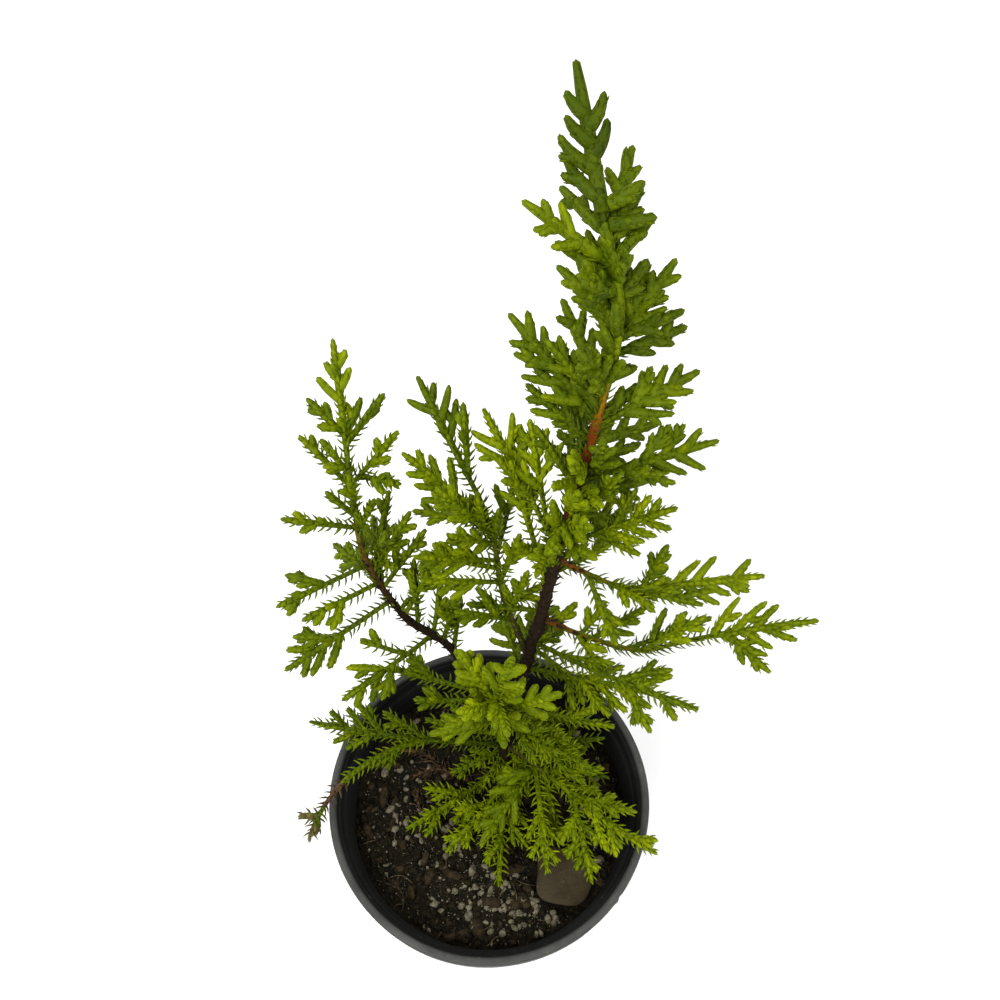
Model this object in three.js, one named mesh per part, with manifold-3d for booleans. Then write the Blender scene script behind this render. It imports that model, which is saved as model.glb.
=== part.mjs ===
// A young leyland cypress in a round plastic nursery pot, in millimetres, +Z up.
// The origin is the centre of the pot's flat underside. +X is to the right and +Y is away from the viewer.
// The plant leans back from the pot's axis. Its trunk and boughs are tapering limbs through a few named places,
// and every mass of foliage is grown from one stem by a seeded rule.
import * as THREE from 'three';
import { mergeVertices } from 'three/addons/utils/BufferGeometryUtils.js';
import Module from 'manifold-3d';

const wasm = await Module();
wasm.setup();

// Driving dimensions of the pot
const potRadius = 55;
const potHeight = 92;
const footRadius = 37;
const floorThickness = 2.2;
const lipHeight = 6.4;
const collarHeight = 9;
const potSegments = 32;
const drainHoleCount = 6;
const drainHoleRadius = 4;
const drainRingRadius = 25;

// Driving dimensions of the soil and of the flat chip that lies on it
const soilLevel = 77.2;
const soilSlope = 0.03;
const soilRipple = 0.4;
const soilFloor = floorThickness + 0.3;
const chipLength = 18;
const chipWidth = 14;
const chipThickness = 3;
const chipPlace = [24.5, -26.5];
const chipTurn = 12;

// The clearance that touching pieces keep
const clearance = 0.3;

// Sizes that the whole plant shares
const footFlare = 1.3;
const footFlareHeight = 7;
const footLevel = 78;
const bareStemRadius = 0.75;
const leafyStemRadius = 1.15;
const shootRadius = 1.25;
const budRadius = 1.1;
const bluntness = 1.6;
const fewSidesGrowth = 1.12;
const needleRadius = 0.45;
const needleLength = 4.2;
const needleAngle = 55;
const shootSpacing = 4.05;
const needleSpacing = 9;
const stemSteps = 6;
const shootLeast = 3.8;
const budShootLeast = 12;

// The light comes from the front and above, and each flat spray turns its face to it
const facing = new THREE.Vector3(0, -0.6, 0.8).normalize();

// Limbs: the places they run through, and the radius at the foot and at the tip
const limbs = {
  trunk: {
    through: [
      [4, 13, 77], [8, 25, 104], [16, 39, 137], [23, 53, 170], [32, 69, 210], [36, 80, 237], [31, 90, 260],
    ],
    radii: [2.8, 1.0], steps: 16, sides: 8, colour: 0x3a2416,
  },
  left_bough: {
    through: [[5, 20, 94], [-12, 38, 123], [-28, 44, 137], [-40, 56, 154], [-43, 69, 172], [-44, 75, 182]],
    radii: [2.1, 1.0], steps: 12, sides: 6, colour: 0x33241a,
  },
  middle_bough: {
    through: [[13, 35, 127], [5, 48, 143], [2, 58, 160], [-2, 64, 174]],
    radii: [1.5, 0.9], steps: 7, sides: 6, colour: 0x4a3a1c,
  },
  right_bough: {
    through: [[17, 41, 141], [33, 37, 135], [50, 34, 132], [66, 37, 133]],
    radii: [1.5, 0.9], steps: 7, sides: 6, colour: 0x5a4a1e,
  },
  upper_right_bough: {
    through: [[22, 50, 163], [37, 46, 156], [47, 45, 152]],
    radii: [1.4, 0.9], steps: 5, sides: 6, colour: 0x6a4a20,
  },
  front_bough: {
    through: [[7, 22, 98], [4, 18, 115], [2, 15, 135]],
    radii: [1.6, 0.9], steps: 5, sides: 6, colour: 0x4a3a1c,
  },
  low_right_bough: {
    through: [[6, 18, 89], [15, 9, 96], [24, 0, 100]],
    radii: [1.5, 0.9], steps: 5, sides: 6, colour: 0x4a3a1c,
  },
};

// Sprays: name, the limb or spray that carries it, how far along that (0 to 1), azimuth and rise in degrees
// (azimuth 0 is to the right, 90 is away), length, bow towards the light, and the share of the stem that is bare
// but for needles. A spray carried by a spray is fused to it, and the two are one mass.
const sprays = [
  ['leader_top', 'trunk', 1, 104, 40, 42, 0, 0.1],
  ['leader_right', 'leader_top', 0.12, 11, 32, 12, -1, 0.15],
  ['leader_right_low', 'leader_top', 0.02, 350, 18, 13, -1, 0.1],
  ['upper_left_3', 'trunk', 0.93, 162, 31, 29, 1, 0.15],
  ['upper_left_2', 'trunk', 0.83, 147, 27, 22, 1, 0.2],
  ['upper_near_2', 'upper_left_2', 0.2, 192, 68, 20, 0, 0.3],
  ['upper_right_2', 'trunk', 0.79, 40, 44, 27, -2, 0.25],
  ['upper_right_2b', 'upper_right_2', 0.2, 68, 40, 18, 0, 0.2],
  ['near_top', 'trunk', 0.72, 214, 59, 23, 0, 0.2],
  ['upper_left_1', 'trunk', 0.66, 141, 34, 39, 2, 0.2],
  ['upper_right_1', 'trunk', 0.65, 18, 24, 33, -2, 0.3],
  ['right_high', 'trunk', 0.58, 7, 18, 42, -2, 0.3],
  ['right_high_near', 'right_high', 0.12, 272, 78, 24, 0, 0.3],
  ['right_high_b', 'right_high', 0.25, 332, 27, 16, 0, 0.3],
  ['right_middle', 'trunk', 0.49, 4, 26, 38, -1, 0.4],
  ['right_middle_b', 'right_middle', 0.3, 331, -1, 15, 0, 0.3],
  ['centre_high', 'trunk', 0.48, 123, 31, 50, 2, 0.42],
  ['centre_high_b', 'centre_high', 0.14, 102, 38, 35, 1, 0.4],
  ['centre_near', 'centre_high', 0.1, 256, 29, 25, 0, 0.3],
  ['centre_high_c', 'centre_high', 0.4, 149, 44, 17, 0, 0.3],
  ['centre_low', 'trunk', 0.41, 112, 42, 40, 2, 0.5],
  ['centre_low_b', 'centre_low', 0.3, 214, 58, 16, 0, 0.3],
  ['right_low', 'trunk', 0.31, 335, 0, 57, 8, 0.5],
  ['right_low_b', 'right_low', 0.2, 343, 14, 17, 0, 0.3],
  ['right_lower', 'trunk', 0.26, 348, 1, 43, 4, 0.45],
  ['right_lowest', 'trunk', 0.18, 347, -1, 35, 3, 0.4],
  ['front_right_1', 'low_right_bough', 1, 325, -6, 38, 4, 0.2],
  ['front_right_2', 'front_right_1', 0.1, 340, 8, 23, 2, 0.2],
  ['front_right_3', 'front_right_1', 0.15, 283, -24, 28, 3, 0.2],
  ['front_right_4', 'low_right_bough', 0.7, 352, 27, 22, 1, 0.25],
  ['front_middle', 'low_right_bough', 0.55, 276, -12, 35, 5, 0.3],
  ['front_left', 'trunk', 0.045, 268, 0, 45, 4, 0.35],
  ['front_left_b', 'front_left', 0.28, 229, -3, 29, 1, 0.3],
  ['front_far_left', 'trunk', 0.015, 217, 9, 41, 4, 0.4],
  ['low_left', 'trunk', 0.08, 177, 9, 69, 7, 0.45],
  ['low_left_back', 'low_left', 0.4, 154, 21, 18, 0, 0.6],
  ['low_left_dry', 'low_left', 0.42, 222, -4, 50, 3, 0.84],
  ['left_top', 'left_bough', 1, 98, 43, 37, -1, 0.12],
  ['left_top_b', 'left_top', 0.12, 40, 37, 20, 0, 0.2],
  ['left_top_c', 'left_top', 0.2, 145, 30, 16, 0, 0.2],
  ['left_7', 'left_bough', 0.82, 148, 38, 23, -2, 0.2],
  ['left_6', 'left_bough', 0.84, 33, 38, 23, -2, 0.25],
  ['left_6b', 'left_6', 0.15, 333, 19, 16, -1, 0.3],
  ['left_5', 'left_bough', 0.69, 183, 16, 24, 1, 0.25],
  ['left_4', 'left_bough', 0.58, 203, -11, 32, 1, 0.5],
  ['left_3', 'left_bough', 0.52, 211, 0, 27, 1, 0.5],
  ['left_2', 'left_bough', 0.46, 210, -16, 41, 2, 0.4],
  ['left_1', 'left_bough', 0.28, 212, -17, 37, 2, 0.45],
  ['left_1b', 'left_1', 0.3, 172, 24, 16, 0, 0.6],
  ['left_inner_3', 'left_bough', 0.55, 43, 46, 25, -1, 0.3],
  ['left_inner_3b', 'left_inner_3', 0.2, 314, 31, 8, 0, 0.3],
  ['left_inner_2', 'left_bough', 0.4, 40, 53, 28, -1, 0.3],
  ['left_inner_1', 'left_bough', 0.24, 48, 71, 22, -1, 0.3],
  ['middle_top', 'middle_bough', 1, 122, 31, 44, 1, 0.3],
  ['middle_top_b', 'middle_top', 0.2, 96, 50, 23, 0, 0.3],
  ['middle_4', 'middle_bough', 0.85, 153, 30, 34, -2, 0.3],
  ['middle_3', 'middle_bough', 0.72, 182, 58, 31, 0, 0.3],
  ['middle_3b', 'middle_3', 0.15, 138, 79, 14, 0, 0.3],
  ['middle_2', 'middle_bough', 0.55, 201, 33, 32, 0, 0.3],
  ['middle_2b', 'middle_bough', 0.42, 38, 69, 22, 0, 0.3],
  ['middle_1', 'middle_bough', 0.2, 195, 36, 23, 0, 0.3],
  ['right_bough_top', 'right_bough', 1, 6, 7, 43, -2, 0.2],
  ['right_bough_top_b', 'right_bough_top', 0.3, 323, -20, 19, 0, 0.3],
  ['right_bough_2', 'right_bough', 0.68, 15, 34, 24, 1, 0.3],
  ['right_bough_1', 'right_bough', 0.35, 17, 32, 21, 0, 0.3],
  ['upper_bough_top', 'upper_right_bough', 1, 4, 6, 41, -1, 0.15],
  ['upper_bough_top_b', 'upper_bough_top', 0.05, 45, 56, 18, 0, 0.3],
  ['front_top', 'front_bough', 1, 350, 80, 32, 0, 0.3],
  ['front_3', 'front_bough', 0.8, 149, 60, 29, -1, 0.3],
  ['front_2', 'front_bough', 0.7, 353, 43, 27, 1, 0.3],
  ['front_1', 'front_bough', 0.45, 202, 19, 26, 2, 0.3],
  ['back_1', 'trunk', 0.22, 72, 0, 38, 2, 0.35],
  ['back_1b', 'back_1', 0.15, 108, -14, 27, 1, 0.3],
  ['back_2', 'trunk', 0.52, 85, 20, 34, 2, 0.35],
  ['back_2b', 'back_2', 0.12, 58, -16, 28, 1, 0.3],
  ['back_3', 'trunk', 0.6, 100, 30, 30, 2, 0.3],
  ['back_3b', 'back_3', 0.12, 84, -12, 26, 1, 0.3],
  ['back_4', 'trunk', 0.76, 112, 38, 26, 2, 0.25],
  ['back_4b', 'back_4', 0.12, 70, 0, 22, 1, 0.3],
  ['back_5', 'left_bough', 0.5, 100, 4, 28, 1, 0.35],
  ['back_5b', 'back_5', 0.15, 136, -16, 26, 1, 0.3],
];

const radians = Math.PI / 180;
const lerp = THREE.MathUtils.lerp;

// A repeatable stream of numbers from 0 to 1
function randomStream(seed) {
  const modulus = 2147483647;
  let state = seed;
  const draw = () => {
    state = (state * 48271) % modulus;
    return state / modulus;
  };
  draw();
  draw();
  return draw;
}

// A three.js geometry as a closed solid: shared corners merged, and flat slivers at a pole left out
function solidOf(geometry) {
  geometry.deleteAttribute('normal');
  geometry.deleteAttribute('uv');
  const merged = mergeVertices(geometry, 1e-4);
  const corners = merged.index.array;
  const triVerts = [];
  for (let k = 0; k < corners.length; k += 3) {
    const [a, b, c] = [corners[k], corners[k + 1], corners[k + 2]];
    if (a !== b && b !== c && c !== a) triVerts.push(a, b, c);
  }
  const vertProperties = new Float32Array(merged.attributes.position.array);
  if (signedVolume(vertProperties, triVerts) < 0) {
    for (let k = 0; k < triVerts.length; k += 3) {
      [triVerts[k + 1], triVerts[k + 2]] = [triVerts[k + 2], triVerts[k + 1]];
    }
  }
  return new wasm.Manifold(new wasm.Mesh({ numProp: 3, vertProperties, triVerts: new Uint32Array(triVerts) }));
}

// Six times the volume inside a closed mesh, negative where its faces point in
function signedVolume(points, triangles) {
  const corner = (k) => new THREE.Vector3(points[3 * k], points[3 * k + 1], points[3 * k + 2]);
  let total = 0;
  for (let k = 0; k < triangles.length; k += 3) {
    const [a, b, c] = [corner(triangles[k]), corner(triangles[k + 1]), corner(triangles[k + 2])];
    total += a.dot(b.cross(c));
  }
  return total;
}

// The largest separate body of a solid, with loose scraps dropped
function largestBody(solid) {
  const bodies = solid.decompose();
  return bodies.reduce((best, body) => (body.volume() > best.volume() ? body : best));
}

// A solid as a named mesh with its own finish
function meshOf(name, solid, colour, roughness) {
  const { vertProperties, triVerts } = solid.getMesh();
  const geometry = new THREE.BufferGeometry();
  geometry.setAttribute('position', new THREE.BufferAttribute(new Float32Array(vertProperties), 3));
  geometry.setIndex(new THREE.BufferAttribute(new Uint32Array(triVerts), 1));
  geometry.computeVertexNormals();
  const material = new THREE.MeshStandardMaterial({ color: colour, roughness, metalness: 0 });
  const mesh = new THREE.Mesh(geometry, material);
  mesh.name = name;
  return mesh;
}

// A lathe about +Z from a profile of radius and height pairs
function turned(profile, segments) {
  const points = profile.map(([radius, height]) => new THREE.Vector2(radius, height));
  const geometry = new THREE.LatheGeometry(points, segments);
  geometry.rotateX(Math.PI / 2);
  return geometry;
}

// A round body along a path, with a radius at each of some shares of it. Its foot is flat, and it ends in a point
// where the last radius is nothing. It is a lathe whose straight axis is bent onto the path.
function bentLathe(path, shares, radii, sides, across) {
  const profile = [[0, 0], ...radii.map((radius, k) => [radius, k])];
  if (radii.at(-1) > 0) profile.push([0, shares.length - 1]);
  const outline = profile.map(([radius, height]) => new THREE.Vector2(radius, height));
  const geometry = new THREE.LatheGeometry(outline, sides, Math.PI / 4);
  const place = geometry.attributes.position;
  for (let k = 0; k < place.count; k += 1) {
    const share = shares[Math.round(place.getY(k))];
    const heading = path.heading(share);
    const right = new THREE.Vector3().crossVectors(heading, across).normalize();
    const front = new THREE.Vector3().crossVectors(right, heading);
    const point = path.point(share).addScaledVector(right, place.getX(k)).addScaledVector(front, place.getZ(k));
    place.setXYZ(k, point.x, point.y, point.z);
  }
  return solidOf(geometry);
}

// A straight path between two points
function straight(start, end) {
  const heading = end.clone().sub(start).normalize();
  return { point: (share) => start.clone().lerp(end, share), heading: () => heading };
}

// The path of a limb: a smooth curve through its places
function limbPath(limb) {
  const places = limb.through.map((place) => new THREE.Vector3(...place));
  const curve = new THREE.CatmullRomCurve3(places, false, 'catmullrom', 0.5);
  return { point: (share) => curve.getPoint(share), heading: (share) => curve.getTangent(share) };
}

// The radius of a limb: an even taper, with the trunk's foot flared
function limbRadius(name, share) {
  const [foot, tip] = limbs[name].radii;
  const height = limbs[name].path.point(share).z - footLevel;
  const flare = name === 'trunk' ? footFlare * Math.exp(-Math.max(height, 0) / footFlareHeight) : 0;
  return lerp(foot, tip, share) + flare;
}

// A limb as a solid, grown outwards by an allowance where it cuts room for what meets it
function limbSolid(name, allowance) {
  const { path, steps, sides } = limbs[name];
  const shares = Array.from({ length: steps + 1 }, (_, k) => k / steps);
  const radii = shares.map((share) => limbRadius(name, share) + allowance);
  return bentLathe(path, shares, radii, sides, new THREE.Vector3(0, -0.8, 0.6));
}

// The least distance between two segments
function segmentDistance(p1, q1, p2, q2) {
  const d1 = q1.clone().sub(p1);
  const d2 = q2.clone().sub(p2);
  const between = p1.clone().sub(p2);
  const a = d1.dot(d1);
  const e = d2.dot(d2);
  const f = d2.dot(between);
  const c = d1.dot(between);
  const b = d1.dot(d2);
  const spread = a * e - b * b;
  const clamp = (value) => THREE.MathUtils.clamp(value, 0, 1);
  let s = spread > 1e-9 ? clamp((b * f - c * e) / spread) : 0;
  const t = (b * s + f) / e;
  if (t < 0) s = clamp(-c / a);
  if (t > 1) s = clamp((b - c) / a);
  return between.addScaledVector(d1, s).addScaledVector(d2, -clamp(t)).length();
}

// Every round stretch placed so far, with the limb or mass that owns it
const taken = [];
const spareGap = 0.5;

function keepsClear(start, end, radius, owners) {
  return taken.every((other) => owners.includes(other.owner)
    || segmentDistance(start, end, other.start, other.end) > other.radius + radius + spareGap);
}

// Whether a round stretch runs into the pot's wall and lip or into the soil
function meetsPot(start, end, radius) {
  return [0, 0.5, 1].some((share) => {
    const point = start.clone().lerp(end, share);
    const outward = Math.hypot(point.x, point.y);
    const rimReach = potRadius + clearance + radius;
    const overRim = outward > 45 && outward < rimReach && point.z < potHeight + clearance + radius;
    const overSoil = outward <= 47 && point.z < soilLevel + 2.3 + radius;
    return overRim || overSoil;
  });
}

// The unit heading for an azimuth and a rise in degrees
function headingOf(azimuth, rise) {
  const [a, r] = [azimuth * radians, rise * radians];
  return new THREE.Vector3(Math.cos(r) * Math.cos(a), Math.cos(r) * Math.sin(a), Math.sin(r));
}

// A heading turned by an angle towards a direction at right angles to it
function turnedFrom(heading, sideways, angle) {
  return heading.clone().multiplyScalar(Math.cos(angle)).addScaledVector(sideways, Math.sin(angle)).normalize();
}

// A spray's stem: a curve bowed towards the light, in as many stretches as keep clear of everything else
function growStem([name, carrier, share, azimuth, rise, length, bow, bare]) {
  const parent = stems[carrier];
  const mass = parent ? parent.mass : name;
  const limb = parent ? parent.limb : carrier;
  const root = (parent ?? limbs[carrier]).path.point(share);
  const heading = headingOf(azimuth, rise);
  const tip = root.clone().addScaledVector(heading, length);
  const face = facing.clone().addScaledVector(heading, -facing.dot(heading)).normalize();
  const control = root.clone().lerp(tip, 0.5).addScaledVector(face, 2 * bow);
  const curve = new THREE.QuadraticBezierCurve3(root, control, tip);
  const path = { point: (s) => curve.getPoint(s), heading: (s) => curve.getTangent(s) };
  let first = 0;
  if (!parent) first = (share < 1 ? limbRadius(carrier, share) + clearance : clearance) / length;
  const shares = [first];
  for (let k = 0; k < stemSteps; k += 1) {
    const [s0, s1] = [lerp(first, 1, k / stemSteps), lerp(first, 1, (k + 1) / stemSteps)];
    const radius = s1 <= bare + 0.01 ? bareStemRadius : leafyStemRadius;
    const owners = s0 * length < 7 ? [mass, limb] : [mass];
    if (!keepsClear(path.point(s0), path.point(s1), radius, owners)) break;
    if (meetsPot(path.point(s0), path.point(s1), radius)) break;
    shares.push(s1);
  }
  for (let k = 1; k < shares.length; k += 1) {
    const radius = shares[k] <= bare + 0.01 ? bareStemRadius : leafyStemRadius;
    taken.push({ start: path.point(shares[k - 1]), end: path.point(shares[k]), radius, owner: mass });
  }
  stems[name] = { mass, limb, path, face, length, bare, shares, first, reach: shares.at(-1) };
}

// The side shoots of a spray, left and right in turn in the plane that faces the light, shorter towards the tip.
// A longer shoot carries a bud of its own, and one that would touch another mass, a limb or the pot is skipped.
function growShoots(name, index) {
  const { mass, path, face, length, bare, reach } = stems[name];
  const draw = randomStream(101 + 37 * index);
  const count = Math.round((length * (1 - bare)) / shootSpacing);
  const longest = Math.min(THREE.MathUtils.clamp(length * 0.36, 5.5, 18), 0.9 * length * (1 - bare));
  const grown = [];
  for (let k = 0; k < count; k += 1) {
    const along = k / count;
    const share = bare + (0.86 - bare) * along;
    const angle = (38 + 7 * (2 * draw() - 1)) * radians;
    const tilt = 24 * (2 * draw() - 1) * radians;
    const shootLength = longest * (1 - 0.62 * along) * (0.85 + 0.3 * draw());
    const budTurn = draw();
    if (share > reach || shootLength < shootLeast) continue;
    const side = (k + index) % 2 === 0 ? 1 : -1;
    const heading = path.heading(share);
    const across = new THREE.Vector3().crossVectors(heading, face).normalize();
    const outOfPlane = new THREE.Vector3().crossVectors(across, heading);
    const sideways = across.multiplyScalar(side * Math.cos(tilt)).addScaledVector(outOfPlane, Math.sin(tilt));
    const direction = turnedFrom(heading, sideways, angle);
    const start = path.point(share);
    const shoot = place('shoot', start, direction, shootLength, shootRadius, mass, grown);
    if (!shoot) continue;
    if (shootLength < budShootLeast) continue;
    const budSide = new THREE.Vector3().crossVectors(direction, outOfPlane).normalize();
    const budAngle = (34 + 8 * budTurn) * radians * (k % 2 === 0 ? 1 : -1);
    const budHeading = turnedFrom(direction, budSide, budAngle);
    const budStart = start.clone().addScaledVector(direction, shootLength * 0.45);
    place('bud', budStart, budHeading, shootLength * 0.38, budRadius, mass, grown);
  }
  return grown;
}

// Puts one straight shoot, bud or needle in its place if nothing is in its way
function place(kind, start, direction, length, radius, mass, grown) {
  const end = start.clone().addScaledVector(direction, length);
  if (!keepsClear(start, end, radius, [mass]) || meetsPot(start, end, radius)) return null;
  const piece = { kind, start, end, radius, owner: mass };
  grown.push(piece);
  taken.push(piece);
  return piece;
}

// The needles on the bare part of a spray's stem, one by one round it
function growNeedles(name) {
  const { mass, path, face, length, bare, first, reach } = stems[name];
  const grown = [];
  const count = Math.floor((Math.min(bare, reach) - first) * length / needleSpacing);
  for (let k = 0; k < count; k += 1) {
    const share = first + ((k + 0.7) * needleSpacing) / length;
    const heading = path.heading(share);
    const around = (k * 137.5 + 20) * radians;
    const across = new THREE.Vector3().crossVectors(heading, face).normalize();
    const outward = across.multiplyScalar(Math.cos(around)).addScaledVector(face, Math.sin(around));
    const direction = turnedFrom(heading, outward, needleAngle * radians);
    place('needle', path.point(share), direction, needleLength, needleRadius, mass, grown);
  }
  return grown;
}

// The solid of a stem, thicker where scale leaves clothe it and blunt at its tip
function stemSolid({ path, face, bare, shares, length }) {
  const [first, last] = [shares[0], shares.at(-1)];
  const stretches = Math.max(2, Math.round(((last - first) * length) / 15));
  const steps = Array.from({ length: stretches }, (_, k) => lerp(first, last, k / stretches));
  steps.push(last - bluntness / length, last);
  const radii = steps.map((share) => fewSidesGrowth * (share <= bare ? bareStemRadius : leafyStemRadius));
  radii[radii.length - 1] = 0;
  return bentLathe(path, steps, radii, 4, face);
}

// The solid of a side shoot or a bud, widest near its blunt tip, or of a needle, which tapers to its point
function pieceSolid({ kind, start, end, radius }) {
  const across = Math.abs(end.clone().sub(start).normalize().z) > 0.8 ? facing : new THREE.Vector3(0, 0, 1);
  const path = straight(start, end);
  if (kind === 'needle') return bentLathe(path, [0, 1], [radius, 0], 3, across);
  const root = kind === 'bud' ? 0.3 : 0.4;
  const shoulder = 1 - bluntness / start.distanceTo(end);
  return bentLathe(path, [0, shoulder, 1], [root, radius * fewSidesGrowth, 0], 3, across);
}

// The height of the soil, a gentle slope up to the back with low ripples, level round the trunk's foot
function soilHeight(x, y) {
  const foot = limbs.trunk.through[0];
  const calm = THREE.MathUtils.smoothstep(Math.hypot(x - foot[0], y - foot[1]), 5, 14);
  const ripple = soilRipple * Math.sin(x / 6) * Math.cos(y / 5);
  const level = footLevel - clearance;
  return lerp(level, soilLevel + soilSlope * y + ripple, calm);
}

// The pot: floor, tapered wall, a wider collar with two steps inside, and a rolled lip
function potSolid() {
  const lipFoot = potHeight - lipHeight;
  const collarFoot = lipFoot - collarHeight;
  const profile = [
    [0, 0], [footRadius - 1.6, 0], [footRadius, 1.6], [48.4, collarFoot - 1.2], [50.4, collarFoot],
    [51.6, lipFoot], [potRadius, lipFoot], [potRadius, potHeight - 0.7],
    [potRadius - 0.6, potHeight], [52.7, potHeight], [52.4, potHeight - 2.8],
    [50.8, potHeight - 3.2], [50.3, potHeight - 6.4], [49.1, potHeight - 6.8], [48.2, potHeight - 8.6],
    [34.8, floorThickness], [0, floorThickness],
  ];
  let pot = solidOf(turned(profile, potSegments));
  for (let k = 0; k < drainHoleCount; k += 1) {
    const turn = ((k + 0.5) / drainHoleCount) * 2 * Math.PI;
    const hole = new THREE.CylinderGeometry(drainHoleRadius, drainHoleRadius, 6 * floorThickness, 10);
    hole.rotateX(Math.PI / 2);
    hole.translate(drainRingRadius * Math.cos(turn), drainRingRadius * Math.sin(turn), 0);
    pot = pot.subtract(solidOf(hole));
  }
  return pot;
}

// The soil that fills the pot, clear of its wall, with its uneven top
function soilSolid() {
  const topRadius = 46.7;
  const rings = [topRadius, 37, 27, 17, 8, 0];
  const profile = [[0, soilFloor], [34.4, soilFloor]];
  rings.forEach((radius) => profile.push([radius, soilLevel]));
  const geometry = turned(profile, 26);
  const place = geometry.attributes.position;
  for (let k = 0; k < place.count; k += 1) {
    const [x, y] = [place.getX(k), place.getY(k)];
    if (place.getZ(k) > soilLevel - 1) place.setZ(k, soilHeight(x, y));
  }
  return solidOf(geometry);
}

// The height at which the flat chip rests: clear of the highest soil under it
function chipLevel() {
  const shares = [-1, -0.5, 0, 0.5, 1];
  const [x, y] = chipPlace;
  const heightAt = (u, v) => soilHeight(x + (u * chipLength) / 2, y + (v * chipWidth) / 2);
  const under = shares.flatMap((u) => shares.map((v) => heightAt(u, v)));
  return Math.max(...under) + clearance;
}

// The flat chip: a rounded four-sided outline with bevelled edges, lying on the soil
function chipSolid() {
  const outline = new THREE.Shape();
  const [w, l] = [chipWidth / 2, chipLength / 2];
  outline.moveTo(-l, -w * 0.7);
  outline.quadraticCurveTo(-l * 0.2, -w * 1.15, l * 0.9, -w * 0.8);
  outline.lineTo(l, w * 0.35);
  outline.quadraticCurveTo(l * 0.55, w * 1.1, -l * 0.35, w);
  outline.lineTo(-l * 0.95, w * 0.5);
  const bevel = 0.6;
  const geometry = new THREE.ExtrudeGeometry(outline, {
    depth: chipThickness - 2 * bevel, curveSegments: 4, bevelSegments: 1,
    bevelThickness: bevel, bevelSize: bevel, bevelOffset: -bevel,
  });
  geometry.translate(0, 0, bevel);
  geometry.rotateZ(chipTurn * radians);
  geometry.translate(chipPlace[0], chipPlace[1], chipLevel());
  return solidOf(geometry);
}

// Everything below the trunk's flat foot
function groundBlock() {
  const block = new THREE.BoxGeometry(40, 40, 20);
  block.translate(limbs.trunk.through[0][0], limbs.trunk.through[0][1], footLevel - 10);
  return solidOf(block);
}

const plant = new THREE.Group();
const plastic = 0x2b2d2b;
const earth = 0x2a211a;
const stone = 0x4d4138;
plant.add(meshOf('pot', potSolid(), plastic, 0.5));
plant.add(meshOf('soil', soilSolid(), earth, 0.95));
plant.add(meshOf('flat_chip', chipSolid(), stone, 0.85));

// The limbs, each bough cut clear of the trunk
for (const limb of Object.values(limbs)) limb.path = limbPath(limb);
const limbRoom = {};
for (const name of Object.keys(limbs)) limbRoom[name] = limbSolid(name, clearance);
for (const [name, limb] of Object.entries(limbs)) {
  const cutter = name === 'trunk' ? groundBlock() : limbRoom.trunk;
  const solid = largestBody(limbSolid(name, 0).subtract(cutter));
  plant.add(meshOf(name, solid, limb.colour, 0.85));
  for (let k = 0; k < 24; k += 1) {
    const radius = limbRadius(name, k / 24);
    taken.push({ start: limb.path.point(k / 24), end: limb.path.point((k + 1) / 24), radius, owner: name });
  }
}

// The masses: all stems first, then shoots and needles round them, fused and cut clear of the limbs
const stems = {};
sprays.forEach(growStem);
const masses = {};
sprays.forEach(([name], index) => {
  const { mass } = stems[name];
  const pieces = growShoots(name, index).concat(growNeedles(name));
  masses[mass] = (masses[mass] ?? []).concat([stemSolid(stems[name])], pieces.map(pieceSolid));
});
Object.entries(masses).forEach(([name, solids], index) => {
  let mass = solids.reduce((joined, solid) => joined.add(solid));
  for (const room of Object.values(limbRoom)) mass = mass.subtract(room);
  const green = new THREE.Color().setHSL(0.22 + 0.012 * (index % 4), 0.75, 0.26);
  plant.add(meshOf(name, largestBody(mass), green, 0.6));
});

export default plant;
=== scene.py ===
"""A young leyland cypress in a round nursery pot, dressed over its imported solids.

Lengths are worked out in millimetres, in the part's own frame, and turned to metres as a mesh is made.
The sprays grow by the same seeded rule as the solids, and are carried on here to finer twigs and leaves.
"""

import math
from collections import namedtuple

import bpy
import numpy as np
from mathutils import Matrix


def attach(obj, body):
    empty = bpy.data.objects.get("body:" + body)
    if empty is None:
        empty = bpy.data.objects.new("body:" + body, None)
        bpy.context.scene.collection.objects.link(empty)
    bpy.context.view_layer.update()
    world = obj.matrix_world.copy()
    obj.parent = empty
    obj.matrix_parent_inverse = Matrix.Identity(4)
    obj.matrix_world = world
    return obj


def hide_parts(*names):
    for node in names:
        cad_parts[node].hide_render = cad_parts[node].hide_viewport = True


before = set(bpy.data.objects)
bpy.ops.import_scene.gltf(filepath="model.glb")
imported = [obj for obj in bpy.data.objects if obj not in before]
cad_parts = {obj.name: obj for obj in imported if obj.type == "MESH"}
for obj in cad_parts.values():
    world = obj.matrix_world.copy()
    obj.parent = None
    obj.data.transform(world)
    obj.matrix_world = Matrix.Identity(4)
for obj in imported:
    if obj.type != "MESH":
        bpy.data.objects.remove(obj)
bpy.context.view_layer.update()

# Sizes that the plant shares with its solids
MILLIMETRE = 0.001
FOOT_FLARE = 1.3
FOOT_FLARE_HEIGHT = 7.0
FOOT_LEVEL = 78.0
TRUNK_FOOT = (4, 13)
BARE_STEM_RADIUS = 0.75
LEAFY_STEM_RADIUS = 1.15
SHOOT_RADIUS = 1.25
BUD_RADIUS = 1.1
NEEDLE_RADIUS = 0.45
NEEDLE_LENGTH = 4.2
NEEDLE_ANGLE = 55.0
GOLDEN_ANGLE = 137.5
SHOOT_SPACING = 4.05
NEEDLE_SPACING = 9.0
STEM_STEPS = 6
LIMB_STEPS = 24
SHOOT_LEAST = 3.8
BUD_SHOOT_LEAST = 12.0
CLEARANCE = 0.3
POT_RADIUS = 55.0
POT_HEIGHT = 92.0
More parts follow.
